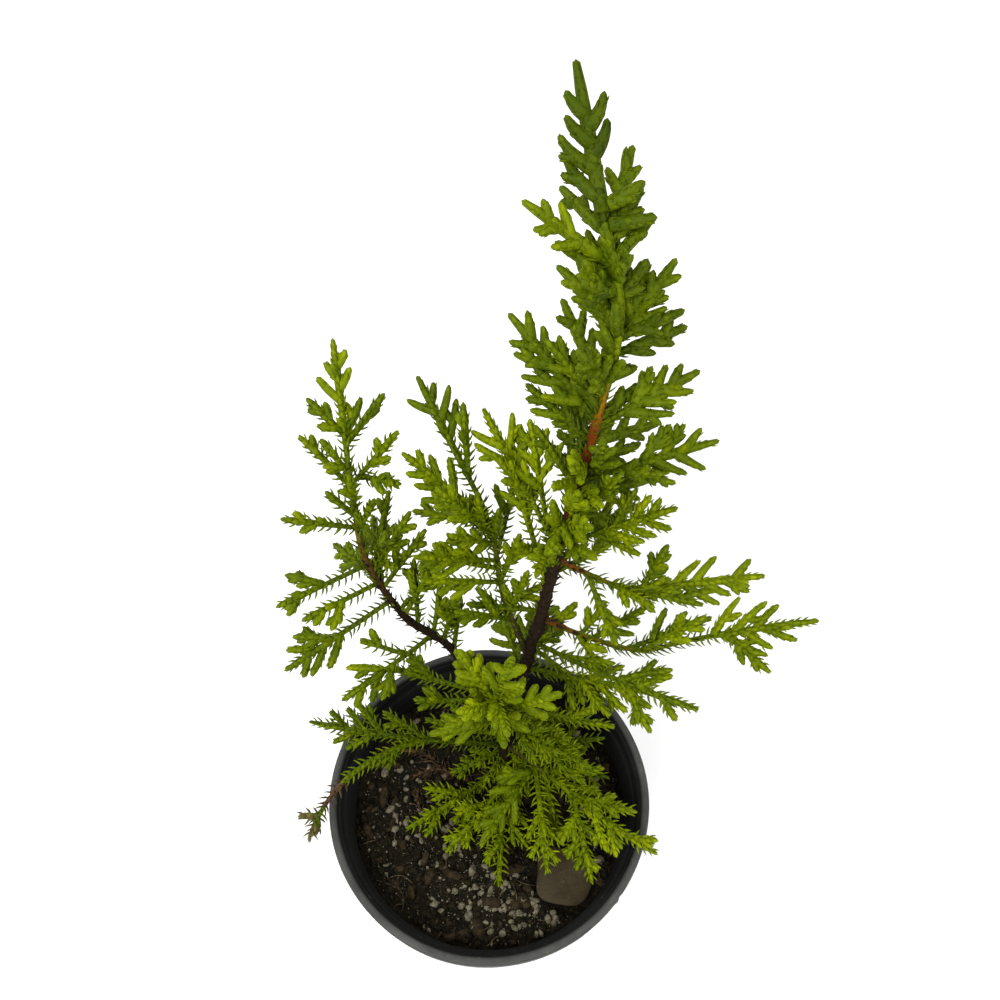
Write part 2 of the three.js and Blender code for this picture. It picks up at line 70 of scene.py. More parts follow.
WALL_RADIUS = 45
SOIL_RADIUS = 47
SOIL_LEVEL = 77.2
SOIL_SLOPE = 0.03
SOIL_RIPPLE = 0.4
SOIL_RISE = 2.3

# Side shoots of the shared rule, in degrees: angle to the stem, its play, and how far they leave the plane
SHOOT_ANGLE, SHOOT_ANGLE_PLAY, SHOOT_TILT = 38, 7, 24
# The longest side shoot as a share of its spray's length, and the limits it is held between
SHOOT_SHARE, SHOOT_LENGTHS = 0.36, (5.5, 18)
# The share of the stem that side shoots reach, and how much shorter the last are
SHOOTS_END, SHOOT_TAPER = 0.86, 0.62
# A bud's place and length as shares of its shoot, and its angle with the play of it
BUD_PLACE, BUD_SHARE, BUD_ANGLE, BUD_ANGLE_PLAY = 0.45, 0.38, 34, 8
# A spray's own stream of numbers starts from its row's index by these
RULE_SEED, RULE_SEED_STEP = 101, 37

# The gap that the solids' sprays keep, and how far along a stem its own limb doesn't count as in the way
SPARE_GAP, FREE_REACH = 0.5, 7
# The same for the small sprays, which may sink into others
SMALL_GAP, SMALL_FREE_REACH = -1.1, 14.0
# The least length of a shoot that branches into twiglets, and a twiglet's radius and greatest length
BRANCHING_LEAST, TWIGLET_RADIUS, TWIGLET_LONGEST = 6, 1.0, 7.0
# Face shoots: their spacing, and the share of them that stand out of the front
FACE_SHOOT_SPACING, FACE_SHOOT_FRONT = 7.5, 0.72
# More stretches than the whole plant has
MOST_STRETCHES = 8000
# The seed of all chance that isn't the shared rule's
CHANCE_SEED = 20261

# The way the flat sprays turn their faces: to the light, from the front and above
FACING = np.array([0.0, -0.6, 0.8])
# The side from which the rings of a limb and its needles are counted
LIMB_FRONT = [0, -0.8, 0.6]

# Limbs: the places they run through, and the radius at the foot and at the tip
LIMBS = {
    "trunk": (
        [(4, 13, 77), (8, 25, 104), (16, 39, 137), (23, 53, 170), (32, 69, 210), (36, 80, 237),
         (31, 90, 260)],
        (2.8, 1.0),
    ),
    "left_bough": (
        [(5, 20, 94), (-12, 38, 123), (-28, 44, 137), (-40, 56, 154), (-43, 69, 172), (-44, 75, 182)],
        (2.1, 1.0),
    ),
    "middle_bough": ([(13, 35, 127), (5, 48, 143), (2, 58, 160), (-2, 64, 174)], (1.5, 0.9)),
    "right_bough": ([(17, 41, 141), (33, 37, 135), (50, 34, 132), (66, 37, 133)], (1.5, 0.9)),
    "upper_right_bough": ([(22, 50, 163), (37, 46, 156), (47, 45, 152)], (1.4, 0.9)),
    "front_bough": ([(7, 22, 98), (4, 18, 115), (2, 15, 135)], (1.6, 0.9)),
    "low_right_bough": ([(6, 18, 89), (15, 9, 96), (24, 0, 100)], (1.5, 0.9)),
}

# Sprays: name, what carries it, the share of the carrier at its root, azimuth and rise of its heading in
# degrees, length, bow towards the light, and the share of it that is bare of side shoots
SPRAYS = [
    ("leader_top", "trunk", 1, 104, 40, 42, 0, 0.1),
    ("leader_right", "leader_top", 0.12, 11, 32, 12, -1, 0.15),
    ("leader_right_low", "leader_top", 0.02, 350, 18, 13, -1, 0.1),
    ("upper_left_3", "trunk", 0.93, 162, 31, 29, 1, 0.15),
    ("upper_left_2", "trunk", 0.83, 147, 27, 22, 1, 0.2),
    ("upper_near_2", "upper_left_2", 0.2, 192, 68, 20, 0, 0.3),
    ("upper_right_2", "trunk", 0.79, 40, 44, 27, -2, 0.25),
    ("upper_right_2b", "upper_right_2", 0.2, 68, 40, 18, 0, 0.2),
    ("near_top", "trunk", 0.72, 214, 59, 23, 0, 0.2),
    ("upper_left_1", "trunk", 0.66, 141, 34, 39, 2, 0.2),
    ("upper_right_1", "trunk", 0.65, 18, 24, 33, -2, 0.3),
    ("right_high", "trunk", 0.58, 7, 18, 42, -2, 0.3),
    ("right_high_near", "right_high", 0.12, 272, 78, 24, 0, 0.3),
    ("right_high_b", "right_high", 0.25, 332, 27, 16, 0, 0.3),
    ("right_middle", "trunk", 0.49, 4, 26, 38, -1, 0.4),
    ("right_middle_b", "right_middle", 0.3, 331, -1, 15, 0, 0.3),
    ("centre_high", "trunk", 0.48, 123, 31, 50, 2, 0.42),
    ("centre_high_b", "centre_high", 0.14, 102, 38, 35, 1, 0.4),
    ("centre_near", "centre_high", 0.1, 256, 29, 25, 0, 0.3),
    ("centre_high_c", "centre_high", 0.4, 149, 44, 17, 0, 0.3),
    ("centre_low", "trunk", 0.41, 112, 42, 40, 2, 0.5),
    ("centre_low_b", "centre_low", 0.3, 214, 58, 16, 0, 0.3),
    ("right_low", "trunk", 0.31, 335, 0, 57, 8, 0.5),
    ("right_low_b", "right_low", 0.2, 343, 14, 17, 0, 0.3),
    ("right_lower", "trunk", 0.26, 348, 1, 43, 4, 0.45),
    ("right_lowest", "trunk", 0.18, 347, -1, 35, 3, 0.4),
    ("front_right_1", "low_right_bough", 1, 325, -6, 38, 4, 0.2),
    ("front_right_2", "front_right_1", 0.1, 340, 8, 23, 2, 0.2),
    ("front_right_3", "front_right_1", 0.15, 283, -24, 28, 3, 0.2),
    ("front_right_4", "low_right_bough", 0.7, 352, 27, 22, 1, 0.25),
    ("front_middle", "low_right_bough", 0.55, 276, -12, 35, 5, 0.3),
    ("front_left", "trunk", 0.045, 268, 0, 45, 4, 0.35),
    ("front_left_b", "front_left", 0.28, 229, -3, 29, 1, 0.3),
    ("front_far_left", "trunk", 0.015, 217, 9, 41, 4, 0.4),
    ("low_left", "trunk", 0.08, 177, 9, 69, 7, 0.45),
    ("low_left_back", "low_left", 0.4, 154, 21, 18, 0, 0.6),
    ("low_left_dry", "low_left", 0.42, 222, -4, 50, 3, 0.84),
    ("left_top", "left_bough", 1, 98, 43, 37, -1, 0.12),
    ("left_top_b", "left_top", 0.12, 40, 37, 20, 0, 0.2),
    ("left_top_c", "left_top", 0.2, 145, 30, 16, 0, 0.2),
    ("left_7", "left_bough", 0.82, 148, 38, 23, -2, 0.2),
    ("left_6", "left_bough", 0.84, 33, 38, 23, -2, 0.25),
    ("left_6b", "left_6", 0.15, 333, 19, 16, -1, 0.3),
    ("left_5", "left_bough", 0.69, 183, 16, 24, 1, 0.25),
    ("left_4", "left_bough", 0.58, 203, -11, 32, 1, 0.5),
    ("left_3", "left_bough", 0.52, 211, 0, 27, 1, 0.5),
    ("left_2", "left_bough", 0.46, 210, -16, 41, 2, 0.4),
    ("left_1", "left_bough", 0.28, 212, -17, 37, 2, 0.45),
    ("left_1b", "left_1", 0.3, 172, 24, 16, 0, 0.6),
    ("left_inner_3", "left_bough", 0.55, 43, 46, 25, -1, 0.3),
    ("left_inner_3b", "left_inner_3", 0.2, 314, 31, 8, 0, 0.3),
    ("left_inner_2", "left_bough", 0.4, 40, 53, 28, -1, 0.3),
    ("left_inner_1", "left_bough", 0.24, 48, 71, 22, -1, 0.3),
    ("middle_top", "middle_bough", 1, 122, 31, 44, 1, 0.3),
    ("middle_top_b", "middle_top", 0.2, 96, 50, 23, 0, 0.3),
    ("middle_4", "middle_bough", 0.85, 153, 30, 34, -2, 0.3),
    ("middle_3", "middle_bough", 0.72, 182, 58, 31, 0, 0.3),
    ("middle_3b", "middle_3", 0.15, 138, 79, 14, 0, 0.3),
    ("middle_2", "middle_bough", 0.55, 201, 33, 32, 0, 0.3),
    ("middle_2b", "middle_bough", 0.42, 38, 69, 22, 0, 0.3),
    ("middle_1", "middle_bough", 0.2, 195, 36, 23, 0, 0.3),
    ("right_bough_top", "right_bough", 1, 6, 7, 43, -2, 0.2),
    ("right_bough_top_b", "right_bough_top", 0.3, 323, -20, 19, 0, 0.3),
    ("right_bough_2", "right_bough", 0.68, 15, 34, 24, 1, 0.3),
    ("right_bough_1", "right_bough", 0.35, 17, 32, 21, 0, 0.3),
    ("upper_bough_top", "upper_right_bough", 1, 4, 6, 41, -1, 0.15),
    ("upper_bough_top_b", "upper_bough_top", 0.05, 45, 56, 18, 0, 0.3),
    ("front_top", "front_bough", 1, 350, 80, 32, 0, 0.3),
    ("front_3", "front_bough", 0.8, 149, 60, 29, -1, 0.3),
    ("front_2", "front_bough", 0.7, 353, 43, 27, 1, 0.3),
    ("front_1", "front_bough", 0.45, 202, 19, 26, 2, 0.3),
    ("back_1", "trunk", 0.22, 72, 0, 38, 2, 0.35),
    ("back_1b", "back_1", 0.15, 108, -14, 27, 1, 0.3),
    ("back_2", "trunk", 0.52, 85, 20, 34, 2, 0.35),
    ("back_2b", "back_2", 0.12, 58, -16, 28, 1, 0.3),
    ("back_3", "trunk", 0.6, 100, 30, 30, 2, 0.3),
    ("back_3b", "back_3", 0.12, 84, -12, 26, 1, 0.3),
    ("back_4", "trunk", 0.76, 112, 38, 26, 2, 0.25),
    ("back_4b", "back_4", 0.12, 70, 0, 22, 1, 0.3),
    ("back_5", "left_bough", 0.5, 100, 4, 28, 1, 0.35),
    ("back_5b", "back_5", 0.15, 136, -16, 26, 1, 0.3),
]

# Smaller sprays between the ones above, too fine for solids of their own
SMALL_SPRAYS = [
    ("upper_left_3b", "trunk", 0.9, 158, 26, 19, 1, 0.15),
    ("upper_left_2c", "trunk", 0.81, 127, 35, 22, 0, 0.1),
    ("centre_near_o", "trunk", 0.6, 249, 47, 21, 0, 0.1),
    ("upper_near_3", "trunk", 0.88, 220, 42, 18, 0, 0.2),
    ("upper_near_4", "trunk", 0.91, 276, 55, 13, 0, 0.2),
    ("upper_right_3", "trunk", 0.97, 57, 24, 18, 0, 0.2),
    ("upper_right_3b", "trunk", 0.94, 33, 35, 14, 0, 0.2),
    ("upper_right_3c", "trunk", 0.87, 48, 28, 13, 0, 0.2),
    ("upper_right_2d", "trunk", 0.8, 11, 22, 19, 0, 0.25),
    ("upper_right_2e", "trunk", 0.77, 16, 14, 21, 0, 0.25),
    ("upper_right_1d", "trunk", 0.73, 2, 27, 8, 0, 0.2),
    ("upper_near_5", "trunk", 0.98, 74, 18, 29, 0, 0.15),
    ("near_top_b", "trunk", 0.67, 158, 65, 18, 0, 0.1),
    ("upper_left_1b", "trunk", 0.63, 147, 27, 25, 1, 0.35),
    ("upper_left_1c", "trunk", 0.68, 148, 42, 25, 1, 0.3),
    ("upper_right_1e", "trunk", 0.66, 41, 10, 17, 0, 0.3),
    ("right_high_c", "trunk", 0.6, 29, -5, 20, 0, 0.25),
    ("right_high_d", "trunk", 0.56, 20, -8, 26, 0, 0.3),
    ("right_high_e", "trunk", 0.54, 1, -19, 19, 0, 0.25),
    ("right_middle_c", "trunk", 0.5, 28, -2, 30, 0, 0.35),
    ("right_middle_d", "trunk", 0.51, 14, 57, 30, 0, 0.1),
    ("right_middle_e", "trunk", 0.44, 32, -4, 23, 0, 0.3),
    ("centre_near_b", "trunk", 0.58, 220, 32, 13, 0, 0.25),
    ("centre_near_c", "trunk", 0.57, 295, 33, 17, 0, 0.2),
    ("centre_near_d", "trunk", 0.53, 243, 5, 22, 0, 0.2),
    ("centre_near_e", "trunk", 0.5, 63, 48, 31, 0, 0.1),
    ("centre_near_f", "trunk", 0.5, 307, 27, 17, 0, 0.2),
    ("centre_near_g", "trunk", 0.48, 259, 60, 20, 0, 0.15),
    ("middle_5", "middle_bough", 0.5, 180, 22, 26, 1, 0.2),
    ("middle_6", "middle_bough", 0.42, 192, 21, 27, 1, 0.25),
    ("middle_7", "middle_bough", 0.66, 201, 41, 19, 0, 0.2),
    ("middle_8", "middle_bough", 0.72, 165, 40, 25, 0, 0.3),
    ("middle_9", "middle_bough", 0.8, 168, 56, 15, 0, 0.25),
    ("middle_10", "middle_bough", 0.66, 66, 77, 15, 0, 0.2),
    ("middle_12", "middle_bough", 0.58, 74, 30, 28, 0, 0.5),
    ("middle_13", "trunk", 0.37, 169, -9, 25, 1, 0.6),
    ("middle_14", "middle_bough", 0.2, 152, 36, 16, 0, 0.5),
    ("middle_15", "middle_bough", 0.3, 27, -1, 15, 0, 0.4),
    ("left_inner_4", "left_bough", 0.2, 80, 41, 19, 0, 0.45),
    ("left_inner_5", "left_bough", 0.28, 77, 45, 18, 0, 0.45),
    ("left_inner_6", "left_bough", 0.34, 94, 48, 23, 0, 0.4),
    ("left_inner_7", "left_bough", 0.42, 41, 42, 22, 0, 0.4),
    ("left_inner_8", "left_bough", 0.5, 46, 32, 24, 0, 0.35),
    ("left_inner_9", "left_bough", 0.55, 80, 22, 28, 0, 0.2),
    ("left_9", "left_bough", 0.72, 160, 46, 13, 0, 0.25),
    ("left_10", "left_bough", 0.75, 290, 88, 17, 0, 0.2),
    ("left_11", "left_bough", 0.68, 16, 65, 16, 0, 0.25),
    ("left_12", "left_bough", 0.62, 5, 26, 12, 0, 0.3),
    ("left_13", "left_bough", 0.9, 143, 42, 14, 0, 0.2),
    ("left_14", "left_bough", 0.1, 171, 15, 31, 1, 0.55),
    ("left_15", "left_bough", 0.08, 185, 11, 24, 1, 0.5),
    ("star_1", "front_bough", 0.55, 180, 66, 22, 0, 0.15),
    ("star_2", "front_bough", 0.97, 145, 57, 24, 0, 0.2),
    ("star_3", "front_bough", 0.86, 216, 44, 20, 0, 0.15),
    ("star_4", "front_bough", 0.85, 211, 13, 19, 1, 0.25),
    ("star_5", "front_bough", 0.85, 316, 8, 14, 1, 0.25),
    ("star_6", "front_bough", 0.8, 279, 15, 16, 0, 0.2),
    ("star_7", "front_bough", 0.99, 285, 29, 18, 0, 0.15),
    ("star_8", "front_bough", 0.9, 346, 62, 18, 0, 0.2),
    ("front_middle_b2", "low_right_bough", 0.56, 235, 2, 32, 0, 0.1),
    ("front_low_2", "trunk", 0.12, 7, 13, 28, 1, 0.3),
    ("front_right_5", "low_right_bough", 0.25, 31, 39, 21, 0, 0.3),
    ("front_right_6", "low_right_bough", 0.5, 17, 21, 23, 0, 0.3),
    ("front_right_7", "low_right_bough", 0.9, 340, 4, 16, 0, 0.25),
    ("front_middle_b", "low_right_bough", 0.4, 237, -22, 21, 2, 0.2),
    ("front_middle_c", "low_right_bough", 0.7, 285, -30, 24, 2, 0.25),
    ("front_left_c", "trunk", 0.06, 235, -18, 20, 2, 0.25),
    ("front_left_d", "trunk", 0.07, 205, -4, 21, 2, 0.3),
    ("front_middle_d", "low_right_bough", 0.15, 276, -4, 19, 1, 0.2),
    ("low_left_b", "trunk", 0.1, 172, 10, 29, 1, 0.4),
    ("right_5", "upper_right_bough", 0.3, 292, -18, 24, 0, 0.3),
    ("right_6", "upper_right_bough", 0.6, 326, 1, 15, 0, 0.25),
    ("right_7", "right_bough", 0.28, 44, 31, 13, 0, 0.35),
    ("right_8", "upper_right_bough", 0.57, 349, -7, 30, 0, 0.25),
    ("right_9", "right_bough", 0.25, 304, -9, 17, 1, 0.3),
    ("right_10", "trunk", 0.3, 330, -24, 30, 1, 0.5),
    ("near_top_c", "trunk", 0.76, 167, 72, 12, 0, 0.15),
    ("near_top_d", "trunk", 0.7, 213, 63, 15, 0, 0.15),
    ("upper_near_6", "trunk", 0.8, 194, 83, 13, 0, 0.15),
    ("upper_near_7", "trunk", 0.7, 115, 25, 30, 0, 0.15),
    ("near_top_e", "trunk", 0.72, 336, 70, 11, 0, 0.15),
    ("centre_near_h", "trunk", 0.57, 138, 42, 23, 0, 0.25),
    ("centre_near_i", "trunk", 0.54, 275, 68, 23, 0, 0.1),
    ("centre_near_j", "trunk", 0.45, 170, 82, 20, 0, 0.15),
    ("centre_near_k", "trunk", 0.52, 298, 51, 21, 0, 0.1),
    ("upper_near_8", "trunk", 0.86, 124, 42, 21, 0, 0.1),
    ("centre_near_l", "trunk", 0.54, 52, 57, 16, 0, 0.1),
    ("centre_near_m", "trunk", 0.4, 79, 52, 28, 0, 0.1),
    ("near_top_f", "trunk", 0.7, 92, 65, 14, 0, 0.1),
    ("upper_near_9", "trunk", 0.99, 124, 5, 20, 0, 0.15),
    ("upper_near_10", "trunk", 0.88, 106, 45, 21, 0, 0.1),
    ("centre_near_n", "trunk", 0.5, 127, 68, 15, 0, 0.1),
    ("right_11", "right_bough", 0.59, 17, 12, 29, 0, 0.3),
    ("middle_16", "middle_bough", 0.82, 160, -13, 27, 0, 0.3),
    ("upper_right_1f", "trunk", 0.63, 25, -8, 23, 0, 0.15),
    ("centre_near_p", "trunk", 0.3, 34, 34, 21, 0, 0.1),
    ("middle_17", "middle_bough", 0.23, 42, 68, 20, 0, 0.2),
    ("front_fill_1", "low_right_bough", 0.06, 359, 17, 34, 0, 0.1),
    ("front_fill_2", "front_bough", 0.3, 326, 11, 34, 0, 0.1),
    ("front_fill_3", "front_bough", 0.36, 319, 21, 25, 0, 0.1),
    ("front_fill_4", "low_right_bough", 0.18, 347, -9, 34, 0, 0.1),
]


def unit(vectors):
    """Each vector divided by its own length."""
    return vectors / np.linalg.norm(vectors, axis=-1, keepdims=True)


def smoothstep(value, low, high):
    """3t^2 - 2t^3, with t the value's share of the way from low to high, held between 0 and 1."""
    share = np.clip((value - low) / (high - low), 0, 1)
    return share * share * (3 - 2 * share)


def lehmer_stream(seed):
    """The solids' own stream of numbers: each state is 48271 times the last, modulo 2^31 - 1."""
    factor, modulus = 48271, 2147483647
    state = seed * factor * factor % modulus
    while True:
        state = state * factor % modulus
        yield state / modulus


# ---------------------------------------------------------------- paths


def limb_path(places):
    """A function of the share along a limb: the uniform Catmull-Rom curve through its places, with one more
    place mirrored beyond each end. Between two places it is the cubic with half of the neighbours' span as
    the slope at each."""
    knots = np.array(places, float)
    knots = np.vstack([2 * knots[0] - knots[1], knots, 2 * knots[-1] - knots[-2]])

    def path(share):
        place = np.asarray(share, float) * (len(knots) - 3)
        k = np.clip(np.floor(place).astype(int), 0, len(knots) - 4)
        w = (place - k)[..., None]
        before, start, end, after = knots[k], knots[k + 1], knots[k + 2], knots[k + 3]
        out, back = 0.5 * (end - before), 0.5 * (after - start)
        cubic = 2 * start - 2 * end + out + back
        square = -3 * start + 3 * end - 2 * out - back
        return cubic * w**3 + square * w**2 + out * w + start

    return path


def bowed_path(root, control, tip):
    """A function of the share along a stem: (1-t)^2 root + 2t(1-t) control + t^2 tip."""

    def path(share):
        t = np.asarray(share, float)[..., None]
        return (1 - t) ** 2 * root + 2 * t * (1 - t) * control + t**2 * tip

    return path


def heading_on(path, share):
    """The unit heading of a path: the step from just before a share to just after it."""
    share, little = np.asarray(share), 1e-4
    before, after = np.clip(share - little, 0, 1), np.clip(share + little, 0, 1)
    return unit(path(after) - path(before))


def run_along(path):
    """Many even shares of a path, and the length that it has run at each, as the sum of the steps."""
    share = np.linspace(0, 1, 2000)
    steps = np.linalg.norm(np.diff(path(share), axis=0), axis=1)
    return share, np.concatenate([[0], np.cumsum(steps)])


def limb_radius(name, share):
    """An even taper from foot to tip, and on the trunk a flare that dies away by e^(-h/7), with h the height
    above its foot."""
    foot, tip = LIMBS[name][1]
    height = np.maximum(limb_paths[name](share)[..., 2] - FOOT_LEVEL, 0)
    flare = FOOT_FLARE * np.exp(-height / FOOT_FLARE_HEIGHT) if name == "trunk" else 0.0
    return foot + (tip - foot) * np.asarray(share) + flare


# ---------------------------------------------------------------- the growing rule


class Room:
    """The round stretches placed so far, as arrays, so that one call measures a new one against them all."""

    def __init__(self, most):
        self.start, self.end = np.zeros((most, 3)), np.zeros((most, 3))
        self.radius, self.owner = np.zeros(most), np.zeros(most, int)
        self.names, self.count, self.spare = {}, 0, SPARE_GAP

    def number(self, owner):
        """The owner's number, given to each name as it first comes."""
        return self.names.setdefault(owner, len(self.names))

    def take(self, start, end, radius, owner):
        """Adds one stretch."""
        k, self.count = self.count, self.count + 1
        self.start[k], self.end[k], self.radius[k], self.owner[k] = start, end, radius, self.number(owner)

    def gaps(self, start, end):
        """Distance from one stretch to each stretch placed: the nearest points of two straight lines, with
        each share held between 0 and 1."""
        p, q = self.start[: self.count], self.end[: self.count]
        d1, d2 = end - start, q - p
        between = start - p
        a, e = d1 @ d1, np.einsum("ij,ij->i", d2, d2)
        f, c, b = np.einsum("ij,ij->i", d2, between), between @ d1, d2 @ d1
        spread = a * e - b * b
        slanted = spread > 1e-9
        s = np.where(slanted, np.clip((b * f - c * e) / np.where(slanted, spread, 1), 0, 1), 0.0)
        t = (b * s + f) / e
        s = np.where(t < 0, np.clip(-c / a, 0, 1), np.where(t > 1, np.clip((b - c) / a, 0, 1), s))
        t = np.clip(t, 0, 1)
        return np.linalg.norm(between + s[:, None] * d1 - t[:, None] * d2, axis=1)

    def is_clear(self, start, end, radius, owners):
        """Whether a stretch keeps the spare gap to all that other owners placed."""
        near = self.gaps(start, end) <= self.radius[: self.count] + radius + self.spare
        ours = np.isin(self.owner[: self.count], [self.number(owner) for owner in owners])
        return not np.any(near & ~ours)


def meets_pot(start, end, radius):
    """Whether a stretch's foot, middle or tip lies in the pot's wall and lip or in the soil."""
    points = start + np.array([[0.0], [0.5], [1.0]]) * (end - start)
    outward, height = np.hypot(points[:, 0], points[:, 1]), points[:, 2]
    in_rim = (outward > WALL_RADIUS) & (outward < POT_RADIUS + CLEARANCE + radius)
    in_rim &= height < POT_HEIGHT + CLEARANCE + radius
    in_soil = (outward <= SOIL_RADIUS) & (height < SOIL_LEVEL + SOIL_RISE + radius)
    return bool(np.any(in_rim | in_soil))


def turned_from(heading, sideways, degrees):
    """A heading turned by an angle towards a direction at right angles to it."""
    angle = math.radians(degrees)
    return unit(math.cos(angle) * heading + math.sin(angle) * sideways)


def grow_stem(room, stems, row):
    """A spray's stem: a curve from its carrier, bowed towards the light, in six stretches, and cut short at
    the first that would come too near to something else."""
    name, carrier, share, azimuth, rise, length, bow, bare = row
    parent = stems.get(carrier)
    mass, limb = (parent["mass"], parent["limb"]) if parent else (name, carrier)
    root = (parent["path"] if parent else limb_paths[carrier])(share)
    a, r = math.radians(azimuth), math.radians(rise)
    heading = np.array([math.cos(r) * math.cos(a), math.cos(r) * math.sin(a), math.sin(r)])
    tip = root + length * heading
    light = unit(FACING)
    face = unit(light - (light @ heading) * heading)
    control = (root + tip) / 2 + 2 * bow * face
    path = bowed_path(root, control, tip)
    first = 0.0
    if not parent:
        first = ((limb_radius(carrier, share) if share < 1 else 0.0) + CLEARANCE) / length
    free_reach = FREE_REACH if room.spare > 0 else SMALL_FREE_REACH
    reach, stretches = first, []
    for k in range(STEM_STEPS):
        s0, s1 = first + (1 - first) * k / STEM_STEPS, first + (1 - first) * (k + 1) / STEM_STEPS
        radius = BARE_STEM_RADIUS if s1 <= bare + 0.01 else LEAFY_STEM_RADIUS
        owners = [mass, limb] if s0 * length < free_reach else [mass]
        start, end = path(s0), path(s1)
        if not room.is_clear(start, end, radius, owners) or meets_pot(start, end, radius):
            break
        reach = s1
        stretches.append((start, end, radius))
    for stretch in stretches:
        room.take(*stretch, mass)
    stems[name] = dict(
        name=name, mass=mass, limb=limb, path=path, face=face, length=length, bare=bare, first=first,
        reach=reach, bend=(root, control, tip),
    )


def place(room, kind, start, direction, length, radius, stem, grown, **facts):
    """Puts one straight shoot, bud or needle in its place if nothing is in its way."""
    end = start + length * direction
    if not room.is_clear(start, end, radius, [stem["mass"]]) or meets_pot(start, end, radius):
        return False
    grown.append(dict(kind=kind, start=start, end=end, length=length, stem=stem, **facts))
    room.take(start, end, radius, stem["mass"])
    return True


def grow_shoots(room, stem, index, grown):
    """The side shoots of a spray, left and right in turn in the plane that faces the light, shorter towards
    the tip. A longer shoot carries a bud, and one that would touch something else is skipped."""
    draw = lehmer_stream(RULE_SEED + RULE_SEED_STEP * index)
    length, bare = stem["length"], stem["bare"]
    count = math.floor(length * (1 - bare) / SHOOT_SPACING + 0.5)
    least, most = SHOOT_LENGTHS
    longest = min(min(max(length * SHOOT_SHARE, least), most), 0.9 * length * (1 - bare))
    for k in range(count):
        along = k / count
        share = bare + (SHOOTS_END - bare) * along
        angle = SHOOT_ANGLE + SHOOT_ANGLE_PLAY * (2 * next(draw) - 1)
        tilt = math.radians(SHOOT_TILT * (2 * next(draw) - 1))
        shoot_length = longest * (1 - SHOOT_TAPER * along) * (0.85 + 0.3 * next(draw))
        bud_turn = next(draw)
        if share > stem["reach"] or shoot_length < SHOOT_LEAST:
            continue
        side = 1 if (k + index) % 2 == 0 else -1
        heading = heading_on(stem["path"], share)
        across = unit(np.cross(heading, stem["face"]))
        out_of_plane = np.cross(across, heading)
        sideways = across * side * math.cos(tilt) + out_of_plane * math.sin(tilt)
        direction = turned_from(heading, sideways, angle)
        start = stem["path"](share)
        facts = dict(share=share, front=out_of_plane, outward=sideways, turn=1 if k % 2 == 0 else -1)
        if not place(room, "shoot", start, direction, shoot_length, SHOOT_RADIUS, stem, grown, **facts):
            continue
        if shoot_length < BUD_SHOOT_LEAST:
            continue
        bud_side = unit(np.cross(direction, out_of_plane))
        heading = turned_from(direction, bud_side, (BUD_ANGLE + BUD_ANGLE_PLAY * bud_turn) * facts["turn"])
        bud_start = start + BUD_PLACE * shoot_length * direction
        facts = dict(share=share, front=out_of_plane, outward=bud_side * facts["turn"])
        place(room, "bud", bud_start, heading, BUD_SHARE * shoot_length, BUD_RADIUS, stem, grown, **facts)


def grow_needles(room, stem, grown):
    """The needles on the bare part of a spray's stem, one by one round it at the golden angle."""
    length, first = stem["length"], stem["first"]
    count = math.floor((min(stem["bare"], stem["reach"]) - first) * length / NEEDLE_SPACING)
    for k in range(count):
        share = first + (k + 0.7) * NEEDLE_SPACING / length
        heading = heading_on(stem["path"], share)
        around = math.radians(GOLDEN_ANGLE * k + 20)
        across = unit(np.cross(heading, stem["face"]))
        outward = across * math.cos(around) + stem["face"] * math.sin(around)
        direction = turned_from(heading, outward, NEEDLE_ANGLE)
        place(room, "needle", stem["path"](share), direction, NEEDLE_LENGTH, NEEDLE_RADIUS, stem, grown)


def grow_twiglets(room, grown, chance):
    """The finer twigs: a longer shoot branches at one to three shares of its length, left and right in turn, by
    24 to 36 degrees, into twiglets that point forward and are a third of its length or so."""
    fresh = []
    for shoot in grown:
        length, stem = shoot["length"], shoot["stem"]
        if shoot["kind"] != "shoot" or length < BRANCHING_LEAST:
            continue
        direction = unit(shoot["end"] - shoot["start"])
        side = unit(np.cross(direction, shoot["front"]))
        turn = -shoot["turn"]
        if chance.random() > habit_of(stem["mass"]).branching:
            continue
        shares = (0.3, 0.5, 0.68) if length > 11 else (0.34, 0.58) if length > 8 else (0.42,)
        for share in shares:
            angle, stretch = chance.uniform(24, 36), chance.uniform(0.75, 1.2)
            sideways = unit(side * turn + chance.uniform(-0.3, 0.5) * shoot["front"])
            reach = min(0.5 * (1 - share) * length * stretch + 1.3, TWIGLET_LONGEST)
            heading = turned_from(direction, sideways, angle)
            start = shoot["start"] + share * length * direction
            facts = dict(share=shoot["share"], front=shoot["front"], outward=sideways)
            place(room, "twiglet", start, heading, reach, TWIGLET_RADIUS, stem, fresh, **facts)
            turn = -turn
    return fresh


def grow_face_shoots(room, stems, chance):
    """Short shoots that stand out of a spray's face and its back between the side shoots, at 30 to 50
    degrees, so that a spray is a little deeper than its plane. A spray that seldom branches has fewer."""
    fresh = []
    for stem in stems.values():
        low, high = max(stem["bare"], stem["first"]), min(stem["reach"], 0.85)
        fullness = min(1, 3 * habit_of(stem["mass"]).branching)
        count = int(max(high - low, 0) * stem["length"] / FACE_SHOOT_SPACING * fullness)
        for k in range(count):
            share = low + (high - low) * (k + chance.uniform(0.2, 0.8)) / count
            heading = heading_on(stem["path"], share)
            across = unit(np.cross(heading, stem["face"]))
            front = np.cross(across, heading)
            side = 1 if chance.random() < FACE_SHOOT_FRONT else -1
            outward = unit(side * front + across * chance.uniform(-0.8, 0.8))
            length = chance.uniform(3.8, 7.2) * (1 - 0.35 * share)
            direction = turned_from(heading, outward, chance.uniform(30, 50))
            facts = dict(share=share, front=front, outward=outward)
            start = stem["path"](share)
            place(room, "twiglet", start, direction, length, TWIGLET_RADIUS, stem, fresh, **facts)
    return fresh


